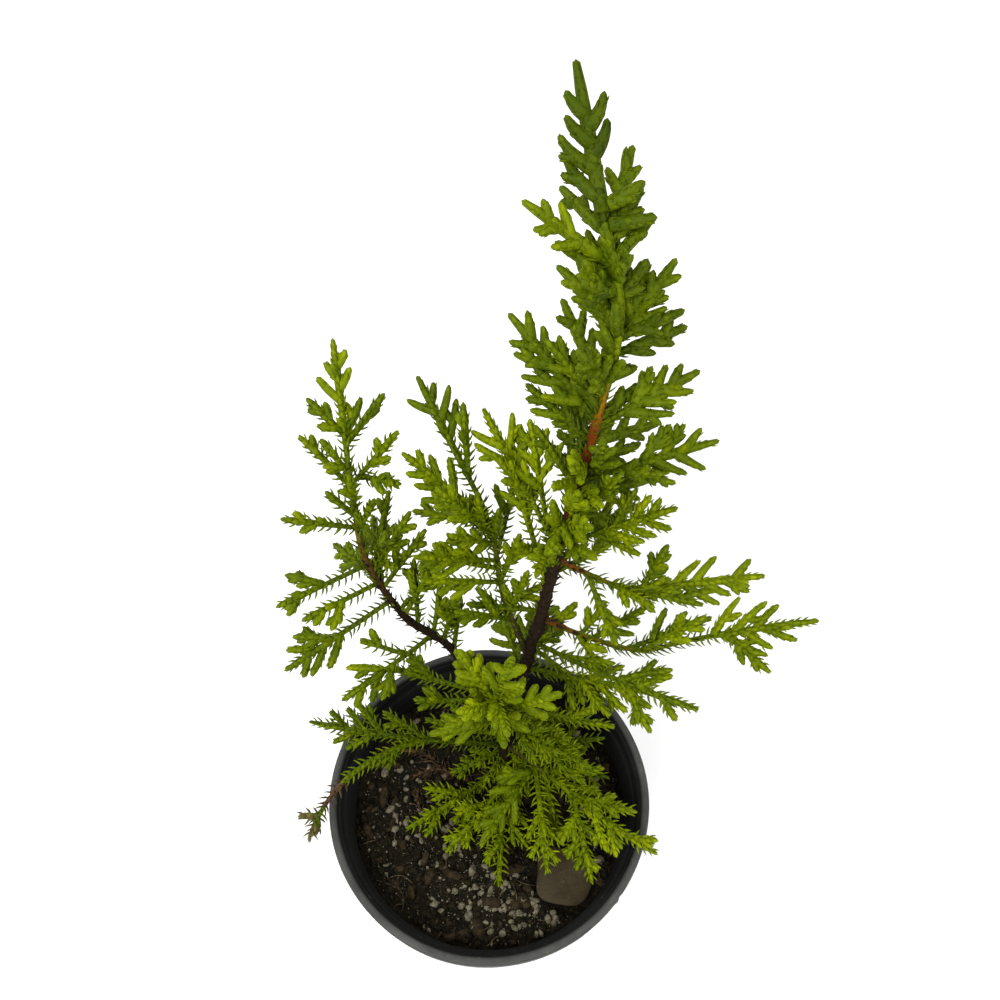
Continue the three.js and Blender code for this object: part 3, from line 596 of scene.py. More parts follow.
# ---------------------------------------------------------------- surfaces


def tube_faces(rings, sides, count):
    """Faces of many tubes at once. Each has a foot point, rings of points and a tip point: four-sided faces
    between rings and three-sided ones round both ends, numbered tube after tube."""
    ring, side = np.meshgrid(np.arange(rings - 1), np.arange(sides), indexing="ij")
    near, far = 1 + ring * sides, 1 + (ring + 1) * sides
    after = (side + 1) % sides
    quads = np.stack([near + side, near + after, far + after, far + side], -1).reshape(-1, 4)
    j = np.arange(sides)
    last = 1 + (rings - 1) * sides
    foot = np.stack([np.zeros(sides, int), 1 + (j + 1) % sides, 1 + j], -1)
    tip = np.stack([np.full(sides, last + sides), last + j, last + (j + 1) % sides], -1)
    step = (np.arange(count) * (rings * sides + 2))[:, None, None]
    triangles = np.vstack([foot, tip])
    return (quads + step).reshape(-1, 4), (triangles + step).reshape(-1, 3)


def tubes(middles, radii, across, sides, ends=(0.4, 0.8), flatness=(1.0, 1.0)):
    """Round or flattened bodies along paths. Middles is (tubes, rings, 3) and radii (tubes, rings). A ring's
    point is the middle plus radius times the frame's two directions by cosine and sine, each times its
    flatness, and each end closes in a point a share of the end's radius further on."""
    heading = unit(np.gradient(middles, axis=1))
    right = unit(np.cross(heading, across[:, None, :]))
    front = np.cross(heading, right)
    turn = np.arange(sides) * 2 * np.pi / sides
    wide, deep = flatness[0] * np.cos(turn)[:, None], flatness[1] * np.sin(turn)[:, None]
    circle = right[:, :, None] * wide + front[:, :, None] * deep
    body = middles[:, :, None] + radii[:, :, None, None] * circle
    foot = middles[:, 0] - heading[:, 0] * (ends[0] * radii[:, 0])[:, None]
    tip = middles[:, -1] + heading[:, -1] * (ends[1] * radii[:, -1])[:, None]
    count, rings = radii.shape
    points = np.concatenate([foot[:, None], body.reshape(count, rings * sides, 3), tip[:, None]], 1)
    return points.reshape(-1, 3), *tube_faces(rings, sides, count)


# The rows of a leaf, as shares of its length
LEAF_ROWS = np.array([0.0, 0.28, 0.55, 0.8, 1.0])


def leaves(base, heading, outward, length, width, depth, spread_foot, spread_tip, fullness):
    """Scale leaves and needles. The middle line leaves the shoot's heading by an angle that runs evenly from
    spread_foot to spread_tip, so the point at a row is the sum of its steps. The section is a kite of a keel,
    two edges and a belly half as deep as the keel is high. Its width falls as 1 - row^fullness and draws in a
    little at the foot."""
    steps = np.diff(LEAF_ROWS)
    between = (LEAF_ROWS[1:] + LEAF_ROWS[:-1]) / 2
    angle = spread_foot[:, None] + (spread_tip - spread_foot)[:, None] * between
    ahead = np.cumsum(np.cos(angle) * steps, 1) * length[:, None]
    away = np.cumsum(np.sin(angle) * steps, 1) * length[:, None]
    zero = np.zeros((len(base), 1))
    ahead, away = np.hstack([zero, ahead]), np.hstack([zero, away])
    middle = base[:, None] + ahead[..., None] * heading[:, None] + away[..., None] * outward[:, None]
    turn = spread_foot[:, None] + (spread_tip - spread_foot)[:, None] * LEAF_ROWS[:-1]
    keel = np.cos(turn)[..., None] * outward[:, None] - np.sin(turn)[..., None] * heading[:, None]
    edge = np.broadcast_to(np.cross(heading, outward)[:, None], keel.shape)
    row = LEAF_ROWS[:-1]
    taper = (1 - row[None] ** fullness[:, None]) * (0.66 + 0.34 * np.sin(np.pi * np.minimum(row, 0.5)))
    half, high = (width[:, None] * taper)[..., None], (depth[:, None] * taper)[..., None]
    corners = [keel * high, edge * half, -0.55 * keel * high, -edge * half]
    rings = middle[:, :-1, None] + np.stack(corners, 2)
    count = len(base)
    points = np.concatenate([middle[:, :1], rings.reshape(count, 16, 3), middle[:, -1:]], 1)
    return points.reshape(-1, 3), *tube_faces(4, 4, count)


def lumps(places, sizes, turns, roughness, chance, rows, sides):
    """Irregular grains: a sphere's points, each pushed out by three sine waves across the grain in random
    directions, then stretched to three half sizes and turned about the upright."""
    count = len(places)
    polar = (np.arange(rows) + 0.75) / (rows + 0.5) * np.pi
    around = np.arange(sides) * 2 * np.pi / sides
    ring = np.stack(
        [np.outer(np.sin(polar), np.cos(around)), np.outer(np.sin(polar), np.sin(around)),
         np.outer(-np.cos(polar), np.ones(sides))], -1).reshape(-1, 3)
    ball = np.vstack([[0, 0, -1], ring, [0, 0, 1]])
    waves = chance.normal(size=(count, 3, 3)) * 2.3
    phase = chance.uniform(0, 2 * np.pi, (count, 3))
    push = 1 + roughness * np.sin(np.einsum("pj,nkj->npk", ball, waves) + phase[:, None]).sum(2) / 2
    body = ball[None] * push[..., None] * sizes[:, None]
    cosine, sine = np.cos(turns)[:, None], np.sin(turns)[:, None]
    x, y = body[..., 0] * cosine - body[..., 1] * sine, body[..., 0] * sine + body[..., 1] * cosine
    points = np.stack([x, y, body[..., 2]], -1) + places[:, None]
    return points.reshape(-1, 3), *tube_faces(rows, sides, count)


def joined(shapes):
    """Several shapes as one: their points one after another, with the faces' numbers moved on."""
    points, quads, triangles, start = [], [], [], 0
    for p, q, t in shapes:
        points.append(p)
        quads.append(q + start)
        triangles.append(t + start)
        start += len(p)
    return np.vstack(points), np.vstack(quads), np.vstack(triangles)


def lattice_noise(points, size, seed):
    """Smooth noise from -1 to 1: random values on a lattice of cells of that size, blended between the eight
    corners of a cell by 3t^2 - 2t^3 along each axis. A value is the corner's three numbers and the seed, each
    times a large odd number, mixed by exclusive or and shifts."""
    cell = points / size
    low = np.floor(cell).astype(int)
    t = smoothstep(cell - low, 0, 1)
    total = 0.0
    for corner in np.ndindex(2, 2, 2):
        x, y, z = (low + corner).T.astype(np.int64)
        mixed = (x * 73856093) ^ (y * 19349663) ^ (z * 83492791) ^ (seed * 2654435761)
        mixed = (mixed ^ (mixed >> 13)) * 1274126177 & 0x7FFFFFFF
        mixed = (mixed ^ (mixed >> 16)) & 0xFFFF
        weight = np.prod(np.where(corner, t, 1 - t), axis=1)
        total = total + weight * (mixed / 32767.5 - 1)
    return total


def make_piece(name, shape, material, replaced=(), flat=False, along=None):
    """One mesh object at the origin from points in millimetres and faces, riding on the part's body."""
    points, quads, triangles = shape
    mesh = bpy.data.meshes.new(name)
    mesh.vertices.add(len(points))
    mesh.vertices.foreach_set("co", (points * MILLIMETRE).astype(np.float32).ravel())
    corners = np.concatenate([quads.ravel(), triangles.ravel()]).astype(np.int32)
    mesh.loops.add(len(corners))
    mesh.loops.foreach_set("vertex_index", corners)
    sizes = np.concatenate([np.full(len(quads), 4), np.full(len(triangles), 3)]).astype(np.int32)
    mesh.polygons.add(len(sizes))
    mesh.polygons.foreach_set("loop_start", (np.cumsum(sizes) - sizes).astype(np.int32))
    mesh.polygons.foreach_set("use_smooth", np.full(len(sizes), not flat))
    if along is not None:
        mesh.attributes.new("along", "FLOAT", "POINT").data.foreach_set("value", along.astype(np.float32))
    mesh.update(calc_edges=True)
    mesh.materials.append(material)
    piece = bpy.data.objects.new(name, mesh)
    bpy.context.scene.collection.objects.link(piece)
    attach(piece, "root")
    if replaced:
        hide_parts(*replaced)
    return piece


# ---------------------------------------------------------------- materials


class Socket:
    """A value in a material. Sums, differences and products of such values add Math nodes."""

    def __init__(self, finish, link):
        self.finish, self.link = finish, link

    def _math(self, operation, first, second):
        return self.finish.node("ShaderNodeMath", {"operation": operation}, {0: first, 1: second})

    def __add__(self, other):
        return self._math("ADD", self, other)

    __radd__ = __add__

    def __mul__(self, other):
        return self._math("MULTIPLY", self, other)

    __rmul__ = __mul__

    def __sub__(self, other):
        return self._math("SUBTRACT", self, other)

    def __rsub__(self, other):
        return self._math("SUBTRACT", other, self)


class Finish:
    """One material's nodes, with its shader's constant values set on the shader's own sockets."""

    def __init__(self, name, **constants):
        self.material = bpy.data.materials.new(name)
        self.material.use_nodes = True
        self.tree = self.material.node_tree
        self.shader = self.tree.nodes["Principled BSDF"]
        for socket, value in constants.items():
            self.shader.inputs[socket.replace("_", " ")].default_value = value
        self.place = self.node("ShaderNodeTexCoord", output="Object")

    def node(self, kind, settings=None, inputs=None, output=0):
        """A node of a type: its settings and a ramp's stops first, then its sockets' values or links."""
        made = self.tree.nodes.new(kind)
        settings = dict(settings or {})
        stops = settings.pop("stops", None)
        for name, value in settings.items():
            setattr(made, name, value)
        if stops:
            ramp = made.color_ramp
            while len(ramp.elements) < len(stops):
                ramp.elements.new(1.0)
            for element, (place_on_ramp, colour) in zip(ramp.elements, stops):
                element.position = place_on_ramp
                element.color = (*colour, 1)
        for name, value in (inputs or {}).items():
            if isinstance(value, Socket):
                self.tree.links.new(value.link, made.inputs[name])
            else:
                made.inputs[name].default_value = value
        return Socket(self, made.outputs[output])

    def noise(self, scale, detail, roughness=0.5, vector=None):
        """Noise from 0 to 1, with its features about 1/scale metres apart."""
        values = {"Vector": vector or self.place, "Scale": scale, "Detail": detail, "Roughness": roughness}
        return self.node("ShaderNodeTexNoise", {"noise_dimensions": "3D"}, values, "Fac")

    def spread(self, value, low, high, foot=0.0, top=1.0):
        """A value from low to high moved evenly to foot to top, and held there."""
        values = {"Value": value, "From Min": low, "From Max": high, "To Min": foot, "To Max": top}
        return self.node("ShaderNodeMapRange", {"clamp": True}, values)

    def blend(self, share, first, second):
        """Two colours mixed by a share. A Mix node has its colours on sockets 6 and 7 and output 2."""
        values = {0: share}
        for socket, colour in ((6, first), (7, second)):
            values[socket] = colour if isinstance(colour, Socket) else (*colour, 1)
        return self.node("ShaderNodeMix", {"data_type": "RGBA"}, values, 2)

    def over(self, body, value, low, high, share, colour):
        """A body colour with another over it, by up to a share, as a value goes from low to high."""
        return self.blend(self.spread(value, low, high, 0.0, share), body, colour)

    def ramp(self, value, stops):
        """Colours at stops along a value."""
        return self.node("ShaderNodeValToRGB", {"stops": stops}, {0: value})

    def attribute(self, name):
        """A value that the mesh holds at its points."""
        return self.node("ShaderNodeAttribute", {"attribute_name": name}, output="Fac")

    def axis(self, name):
        """One of the three parts of the place on the piece, in metres."""
        return self.node("ShaderNodeSeparateXYZ", {}, {0: self.place}, name)

    def stretched(self, scales):
        """The place on the piece with each axis scaled on its own."""
        return self.node("ShaderNodeMapping", {}, {"Vector": self.place, "Scale": scales})

    def finish(self, colour, rough=None, height=None, depth=0.0, strength=0.0):
        """Joins the colour, the roughness and the bump height, in parts of a depth in metres, to the shader."""
        self.tree.links.new(colour.link, self.shader.inputs["Base Color"])
        if rough is not None:
            self.tree.links.new(rough.link, self.shader.inputs["Roughness"])
        if height is not None:
            values = {"Height": height, "Distance": depth, "Strength": strength}
            bump = self.node("ShaderNodeBump", {}, values)
            self.tree.links.new(bump.link, self.shader.inputs["Normal"])
        return self.material


def screen_colour(red, green, blue):
    """A screen colour of 0 to 255 as light: c / 12.92 below 0.04, and ((c + 0.055) / 1.055)^2.4 above."""
    parts = [part / 255 for part in (red, green, blue)]
    return tuple(c / 12.92 if c <= 0.04045 else ((c + 0.055) / 1.055) ** 2.4 for c in parts)


def shaded(colour, gain):
    """A colour times a gain, each part of it held at 1."""
    return tuple(min(part * gain, 1.0) for part in colour)


def leaf_green(name, colour):
    """Living scale leaves: a waxy green that drifts a little towards yellow and towards shade in small
    patches, with fine grain in its gloss."""
    made = Finish(name, Specular_IOR_Level=0.07, Subsurface_Weight=0.08, Subsurface_Scale=0.0006)
    made.shader.inputs["Subsurface Radius"].default_value = (0.8, 1.0, 0.1)
    patch, grain = made.noise(240, 2.0), made.noise(2400, 2.0)
    yellow = (min(colour[0] * 1.22, 1), min(colour[1] * 1.1, 1), colour[2] * 1.3)
    body = made.blend(made.spread(patch, 0.35, 0.68), shaded(colour, 0.84), yellow)
    body = made.over(body, grain, 0.5, 0.75, 0.22, shaded(colour, 0.62))
    rough = made.spread(grain, 0.3, 0.7, 0.43, 0.6)
    return made.finish(body, rough, grain + 0.5 * patch, 0.00012, 0.5)


def dead_brown(name, colour):
    """Dead leaves and twigs: dull, streaked between a straw and a dark brown."""
    made = Finish(name, Specular_IOR_Level=0.25)
    streak, grain = made.noise(420, 3.0), made.noise(2600, 2.0)
    body = made.blend(made.spread(streak, 0.3, 0.7), shaded(colour, 0.45), shaded(colour, 1.35))
    return made.finish(body, made.spread(grain, 0.3, 0.7, 0.7, 0.9), grain, 0.00015, 0.6)


def limb_bark(name, stops):
    """Thin bark along a limb, from the colours at its foot to the green of its tip, darker in patches of a fine
    grain, with flecks."""
    made = Finish(name, Specular_IOR_Level=0.05)
    patch, grain = made.noise(190, 4.0), made.noise(1500, 3.0, 0.6)
    body = made.ramp(made.attribute("along") + 0.12 * (patch - 0.5), stops)
    body = made.over(body, grain, 0.42, 0.7, 0.6, (0.012, 0.008, 0.004))
    body = made.over(body, made.noise(900, 2.0), 0.64, 0.76, 0.2, (0.17, 0.09, 0.03))
    return made.finish(body, made.spread(patch, 0.3, 0.7, 0.62, 0.86), grain, 0.0003, 0.9)


def moulded_plastic():
    """Dark grey moulded plastic: nearly black below, lighter on the lip with dust, scuffs and painted sheen,
    with fine scratches, settled dust and dried splashes of soil. Inside the lip it is darker with painted shade
    and duller, down to the soil. Lip and inside are told by height and by distance from the pot's axis, in
    metres."""
    made = Finish("pot_plastic_worn", Specular_IOR_Level=0.22)
    height = made.axis("Z")
    cloud, speck, fine = made.noise(28, 4.0), made.noise(520, 3.0, 0.6), made.noise(3200, 2.0)
    scratch = made.noise(60, 5.0, 0.75, made.stretched((1.0, 1.0, 26.0)))
    flat_place = {0: made.stretched((1.0, 1.0, 0.0))}
    outward = made.node("ShaderNodeVectorMath", {"operation": "LENGTH"}, flat_place, "Value")
    lip = made.spread(height, 0.0846, 0.0858) * made.spread(outward, 0.0518, 0.0532)
    # The inner wall, inside the lip and above the soil, where painted shade goes
    inside = made.spread(height, 0.0912, 0.0896) * made.spread(outward, 0.0521, 0.0518)
    inside = inside * made.spread(height, 0.074, 0.076)
    body = made.blend(made.spread(cloud, 0.35, 0.7), (0.005, 0.0055, 0.005), (0.013, 0.0135, 0.0125))
    # The lip's lighter colour: partly dust and scuffs, partly painted sheen
    dust_and_sheen = made.blend(made.spread(scratch, 0.35, 0.7), (0.03, 0.031, 0.028), (0.065, 0.066, 0.06))
    body = made.blend(lip, body, dust_and_sheen)
    body = made.over(body, scratch, 0.66, 0.74, 0.35, (0.09, 0.09, 0.083))
    body = made.over(body, speck, 0.64, 0.72, 0.5, (0.09, 0.075, 0.055))
    # Painted shade on the pot's inner wall, down to the soil
    body = made.blend(0.55 * inside, body, (0.002, 0.002, 0.0018))
    rough = made.spread(cloud + 0.6 * scratch, 0.5, 1.1, 0.46, 0.66) + 0.25 * inside
    return made.finish(body, rough, fine * 0.35 + scratch, 0.0001, 0.35)


def potting_earth():
    """Moist peat and composted bark: nearly black, with brown crumbs and small pale flecks."""
    made = Finish("potting_earth", Specular_IOR_Level=0.12)
    lump, crumb, fleck = made.noise(170, 5.0, 0.6), made.noise(700, 4.0, 0.65), made.noise(1500, 2.0)
    body = made.blend(made.spread(lump, 0.3, 0.7), (0.0014, 0.0011, 0.0004), (0.009, 0.0066, 0.0018))
    body = made.over(body, crumb, 0.54, 0.7, 0.8, (0.034, 0.024, 0.008))
    body = made.over(body, fleck, 0.68, 0.75, 0.7, (0.12, 0.105, 0.07))
    rough = made.spread(crumb, 0.3, 0.7, 0.72, 0.95)
    return made.finish(body, rough, crumb + 0.5 * lump, 0.0012, 1.0)


def grain_finish(name, dark, pale, roughness, scale=900):
    """A grain of the potting mix: two tones in small patches, with pits."""
    made = Finish(name, Specular_IOR_Level=0.12)
    patch, pit = made.noise(scale, 3.0, 0.6), made.noise(scale * 3.5, 2.0)
    body = made.blend(made.spread(patch, 0.32, 0.66), dark, pale)
    body = made.over(body, pit, 0.58, 0.72, 0.6, shaded(dark, 0.4))
    rough = made.spread(patch, 0.3, 0.7, roughness - 0.08, roughness + 0.08)
    return made.finish(body, rough, pit, 0.0003, 0.7)


def slab_bark():
    """The flat chip: smooth brown-grey wood with long faint grain and pale specks."""
    made = Finish("slab_bark", Specular_IOR_Level=0.15)
    cloud, grain = made.noise(90, 3.0), made.noise(160, 5.0, 0.6, made.stretched((1.0, 5.0, 3.0)))
    body = made.blend(made.spread(cloud, 0.3, 0.7), (0.024, 0.0175, 0.007), (0.05, 0.037, 0.017))
    body = made.over(body, grain, 0.5, 0.72, 0.55, (0.024, 0.017, 0.01))
    speck = made.noise(1300, 2.0)
    body = made.over(body, speck, 0.66, 0.74, 0.5, (0.13, 0.11, 0.08))
    return made.finish(body, made.spread(cloud, 0.3, 0.7, 0.6, 0.8), grain + 0.3 * speck, 0.0003, 0.6)


# ---------------------------------------------------------------- the pot and what lies in it

# The pot's corners, as distance from its axis and height: floor and wall outside, collar, lip, steps inside
POT_CORNERS = [
    (0, 0), (35.4, 0), (37, 1.6), (48.4, 75.4), (50.4, 76.6), (51.6, 86.2), (54.3, 86.2), (55, 92), (52.1, 92),
    (51.8, 90.2), (51.1, 89.8), (50.6, 86.2), (49.6, 85.8), (48.5, 83.4), (34.8, 2.2), (0, 2.2),
]
POT_ROUNDINGS = [1.2, 1.2, 1.5, 1.2, 0.7, 0.6, 1.3, 0.9, 0.7, 0.5, 0.7, 0.5, 1.2, 1.6]
POT_SIDES, PROFILE_STEP, CORNER_STEPS = 224, 2.4, 5
# Burrs and a nick on the lip: degrees round the pot, width in radians, and how far they stand out
LIP_MARKS = ((-39.5, 0.016, 0.5), (-57.0, 0.011, 0.32), (-38.2, 0.01, -0.6))
DRAIN_HOLES, DRAIN_RING, DRAIN_RADIUS = 6, 25, 4.0
# The hollow in the soil for the flat chip: its middle and half widths, and the chip's own middle
CHIP_HOLLOW, CHIP_REACH, CHIP_MIDDLE = (25.5, -25.5), (11, 10.5), (25.6, -24.2, 79.2)
# The soil's lumps: height, size and seed of each of three layers
SOIL_LUMPS = ((0.95, 7.0, 3), (0.62, 2.9, 4), (0.38, 1.3, 5))
# How far from the pot's axis loose grains lie
GRAIN_REACH = 46.0


def rounded(corners, radii):
    """A line with its corners rounded: each corner gives way to a quadratic curve that starts and ends a
    radius away from it, on the straights to its neighbours."""
    corners = np.array(corners, float)
    line = [corners[:1]]
    t = np.linspace(0, 1, CORNER_STEPS)[:, None]
    for before, corner, after, radius in zip(corners, corners[1:], corners[2:], radii):
        back, ahead = before - corner, after - corner
        reach = min(radius, 0.45 * np.linalg.norm(back), 0.45 * np.linalg.norm(ahead))
        start, end = corner + unit(back) * reach, corner + unit(ahead) * reach
        line.append((1 - t) ** 2 * start + 2 * t * (1 - t) * corner + t**2 * end)
    line.append(corners[-1:])
    return np.vstack(line)


def turned(line, segments):
    """A surface of revolution about the pot's axis: a ring of points at each radius and height of the line,
    closed at both ends on the axis."""
    turn = np.arange(segments) * 2 * np.pi / segments
    radius, height = line[1:-1, :1], line[1:-1, 1:]
    rings = np.stack([radius * np.cos(turn), radius * np.sin(turn), height + 0 * turn], -1)
    ends = [[0, 0, line[0, 1]]], [[0, 0, line[-1, 1]]]
    points = np.vstack([ends[0], rings.reshape(-1, 3), ends[1]])
    return points, *tube_faces(len(line) - 2, segments, 1)


def pot_shape():
    """The pot as a turned line, with burrs and a nick that fade by e^(-d^2) on its lip, and a slight
    waviness of the lip round the rim."""
    line = rounded(POT_CORNERS, POT_ROUNDINGS)
    counts = [max(2, int(np.linalg.norm(b - a) / PROFILE_STEP) + 1) for a, b in zip(line, line[1:])]
    steps = [np.linspace(a, b, count)[:-1] for a, b, count in zip(line, line[1:], counts)]
    points, quads, triangles = turned(np.vstack(steps + [line[-1:]]), POT_SIDES)
    angle = np.arctan2(points[:, 1], points[:, 0])
    outward = np.hypot(points[:, 0], points[:, 1])
    upper = smoothstep(points[:, 2], 78, 90)
    push = 0.12 * upper * np.sin(3 * angle + 0.6) + 0.06 * upper * np.sin(7 * angle + 2.0)
    outer = smoothstep(outward, 53.6, 54.8)
    for degrees, width, height in LIP_MARKS:
        push += height * outer * np.exp(-(((angle - math.radians(degrees)) / width) ** 2))
    points[:, :2] *= (1 + push / np.maximum(outward, 1))[:, None]
    points[:, 2] += 0.1 * upper * np.sin(2 * angle + 1.1) - 0.1 * upper
    return points, quads, triangles


def cut_drain_holes(piece):
    """Cuts the ring of drain holes through the pot's floor with one set of upright round cutters."""
    count = DRAIN_HOLES
    turn = (np.arange(count) + 0.5) * 2 * np.pi / count
    foot = np.stack([DRAIN_RING * np.cos(turn), DRAIN_RING * np.sin(turn), np.full(count, -6.0)], -1)
    middles = foot[:, None] + np.array([[0, 0, 0], [0, 0, 6], [0, 0, 11]])
    radii, across = np.full((count, 3), DRAIN_RADIUS), np.tile([1.0, 0, 0], (count, 1))
    shape = tubes(middles, radii, across, 40, (0.0, 0.0))
    cutter = make_piece("drain_cutter", shape, piece.data.materials[0])
    cut = piece.modifiers.new("drain_holes", "BOOLEAN")
    cut.object, cut.operation, cut.solver = cutter, "DIFFERENCE", "EXACT"
    bpy.context.view_layer.update()
    whole = piece.evaluated_get(bpy.context.evaluated_depsgraph_get())
    mesh = bpy.data.meshes.new_from_object(whole)
    piece.modifiers.clear()
    old, piece.data = piece.data, mesh
    bpy.data.meshes.remove(old)
    bpy.data.objects.remove(cutter)
    mesh.name = piece.name


def from_trunk(x, y):
    """How far places on the soil are from the middle of the trunk's foot."""
    return np.hypot(x - TRUNK_FOOT[0], y - TRUNK_FOOT[1])


def from_chip(x, y):
    """How far places on the soil are from the middle of the chip's hollow, as a share of its half widths."""
    return np.hypot((x - CHIP_HOLLOW[0]) / CHIP_REACH[0], (y - CHIP_HOLLOW[1]) / CHIP_REACH[1])


def soil_height(x, y):
    """The solid soil's top: a slope up to the back with low ripples, level round the trunk's foot."""
    calm = smoothstep(from_trunk(x, y), 5, 14)
    level = FOOT_LEVEL - CLEARANCE
    top = SOIL_LEVEL + SOIL_SLOPE * y + SOIL_RIPPLE * np.sin(x / 6) * np.cos(y / 5)
    return level + (top - level) * calm


def soil_top(x, y):
    """The soil as it looks: the solid's top with lumps of three sizes, held down under the flat chip and
    drawn up a little round the trunk."""
    spot = np.stack([x, y, np.full_like(x, 3.0)], -1)
    rough = sum(height * lattice_noise(spot, size, seed) for height, size, seed in SOIL_LUMPS)
    near_chip = 1 - smoothstep(from_chip(x, y), 0.8, 1.15)
    near_trunk = 1 - smoothstep(from_trunk(x, y), 2, 8)
    return soil_height(x, y) + rough * (1 - 0.8 * near_chip) - 0.9 * near_chip + 0.9 * near_trunk


def soil_shape():
    """The soil as a turned line, from its flat bottom up its side and in over its top, with the top's rings
    raised to the lumpy surface."""
    segments, rings = 300, 104
    line = np.vstack([
        [[0, 2.5], [20, 2.5], [34.2, 2.5]],
        np.stack([np.linspace(34.6, 46.4, 6), np.linspace(4, 74.5, 6)], -1),
        np.stack([np.linspace(47.5, 0.4, rings), np.full(rings, SOIL_LEVEL)], -1),
        [[0, SOIL_LEVEL]],
    ])
    points, quads, triangles = turned(line, segments)
    top = points[:, 2] > SOIL_LEVEL - 0.5
    points[top, 2] = soil_top(points[top, 0], points[top, 1])
    return points, quads, triangles


def scattered(count, chance, clusters=(), share=0.0, spread=0.0):
    """Places on the soil: a share of them by chance round the clusters, the rest evenly over the round top,
    and none under the flat chip or in the trunk. Three times as many are drawn as are kept."""
    drawn = 3 * count
    angle, radius = chance.uniform(0, 2 * np.pi, drawn), GRAIN_REACH * np.sqrt(chance.random(drawn))
    places = np.stack([radius * np.cos(angle), radius * np.sin(angle)], -1)
    if clusters:
        pick = chance.integers(0, len(clusters), drawn)
        close = np.array(clusters, float)[pick] + chance.normal(size=(drawn, 2)) * spread
        places = np.where((chance.random(drawn) < share)[:, None], close, places)
    x, y = places.T
    free = (np.hypot(x, y) < GRAIN_REACH) & (from_chip(x, y) > 1) & (from_trunk(x, y) > 4.5)
    return x[free][:count], y[free][:count]


def strewn(count, chance, sizes, sink, roughness, rows, sides, **where):
    """Grains strewn on the soil: half sizes by chance between two limits, more small than large, each sunk
    by a share of its height. Sizes holds the two limits, how flat a grain may be and how long."""
    x, y = scattered(count, chance, **where)
    count = len(x)
    low, high, flat, long = sizes
    half = low + (high - low) * chance.random(count) ** 2.6
    stretch = np.stack(
        [half * chance.uniform(1, long, count), half * chance.uniform(0.7, 1, count),
         half * chance.uniform(flat, 1, count)], -1)
    spots = np.stack([x, y, soil_top(x, y) + (1 - 2 * sink) * stretch[:, 2]], -1)
    return lumps(spots, stretch, chance.uniform(0, 2 * np.pi, count), roughness, chance, rows, sides)


def strewn_fibres(count, chance, length, radius):
    """Fibres and rootlets on the soil: short curves that rise a little in their middle, each a thin tube."""
    x, y = scattered(count, chance)
    count = len(x)
    turn, reach = chance.uniform(0, 2 * np.pi, count), chance.uniform(*length, count)
    bend = chance.uniform(-0.5, 0.5, count)
    t = np.linspace(-0.5, 0.5, 8)
    along, aside = reach[:, None] * t, (reach * bend)[:, None] * (0.25 - t**2) * 2
    px = x[:, None] + along * np.cos(turn)[:, None] - aside * np.sin(turn)[:, None]
    py = y[:, None] + along * np.sin(turn)[:, None] + aside * np.cos(turn)[:, None]
    inside = np.minimum(1, GRAIN_REACH / np.maximum(np.hypot(px, py), 1))
    px, py = px * inside, py * inside
    lift = chance.uniform(0.2, 1.4, count)[:, None] * (1 - 4 * t**2)
    middles = np.stack([px, py, soil_top(px.ravel(), py.ravel()).reshape(px.shape) + 0.15 + lift], -1)
    radii = chance.uniform(*radius, count)[:, None] * (1 - 0.5 * np.abs(2 * t) ** 3)
    return tubes(middles, radii, np.tile([0.0, 0, 1], (count, 1)), 5)


def slab_shape():
    """The flat chip: a four-sided outline with round corners, r = (|cos/a|^n + |sin/b|^n)^(-1/n), two
    millimetres thick with a round edge, arched up along its near side so that a hollow opens under it."""
    sides, rings = 72, 9
    around = np.arange(sides) * 2 * np.pi / sides
    outline = (np.abs(np.cos(around) / 9.4) ** 3.4 + np.abs(np.sin(around) / 9.6) ** 3.4) ** (-1 / 3.4)
    outline = outline * (1 + 0.035 * np.sin(3 * around + 0.5) + 0.025 * np.sin(5 * around + 2))
    sweep = np.linspace(0, 1, rings)
    inner = np.sin(sweep[1:] * np.pi / 2) ** 0.55
    share = np.concatenate([inner, inner[-2::-1]])
    lift = np.concatenate([-np.cos(sweep[1:] * np.pi / 2), np.cos(sweep[-2:0:-1] * np.pi / 2)])
    radius = share[:, None] * outline
    x, y = radius * np.cos(around), radius * np.sin(around)
    thickness = 1.0 + 0.12 * np.sin(x / 2.1 + 1) * np.sin(y / 2.7)
    near = smoothstep(-y, 3, 9) * np.exp(-(((x - 0.5) / 4.2) ** 2))
    z = lift[:, None] * thickness + 1.6 * near + 0.035 * x - 0.02 * x * x * 0.4
    turn = math.radians(-7)
    turned_x, turned_y = x * math.cos(turn) - y * math.sin(turn), x * math.sin(turn) + y * math.cos(turn)
    body = np.stack([turned_x, turned_y, z], -1).reshape(-1, 3)
    points = np.vstack([[0, 0, -1], body, [0, 0, 1]]) + CHIP_MIDDLE
    return points, *tube_faces(len(share), sides, 1)


# ---------------------------------------------------------------- limbs

# How thick each limb's bark is at its foot and tip, as a share of its solid
SLIMNESS = {
    "trunk": (1.0, 0.78), "left_bough": (0.74, 0.74), "middle_bough": (0.76, 0.8), "right_bough": (0.68, 0.75),
    "upper_right_bough": (0.68, 0.75), "front_bough": (0.85, 0.9), "low_right_bough": (0.62, 0.7),
}
# Rings of bark lie this far apart, and pairs of old leaf bases this far
BARK_STEP, BASE_SPACING = 0.45, 3.3
# Points in a ring, and the seed of the first limb's bark
BARK_SIDES, BARK_SEED = 26, 11


def bark_radius(name, share):
    """The limb's radius in the source times its slimness, which goes evenly from foot to tip."""
    foot, tip = SLIMNESS[name]
    return limb_radius(name, share) * (foot + (tip - foot) * np.asarray(share))


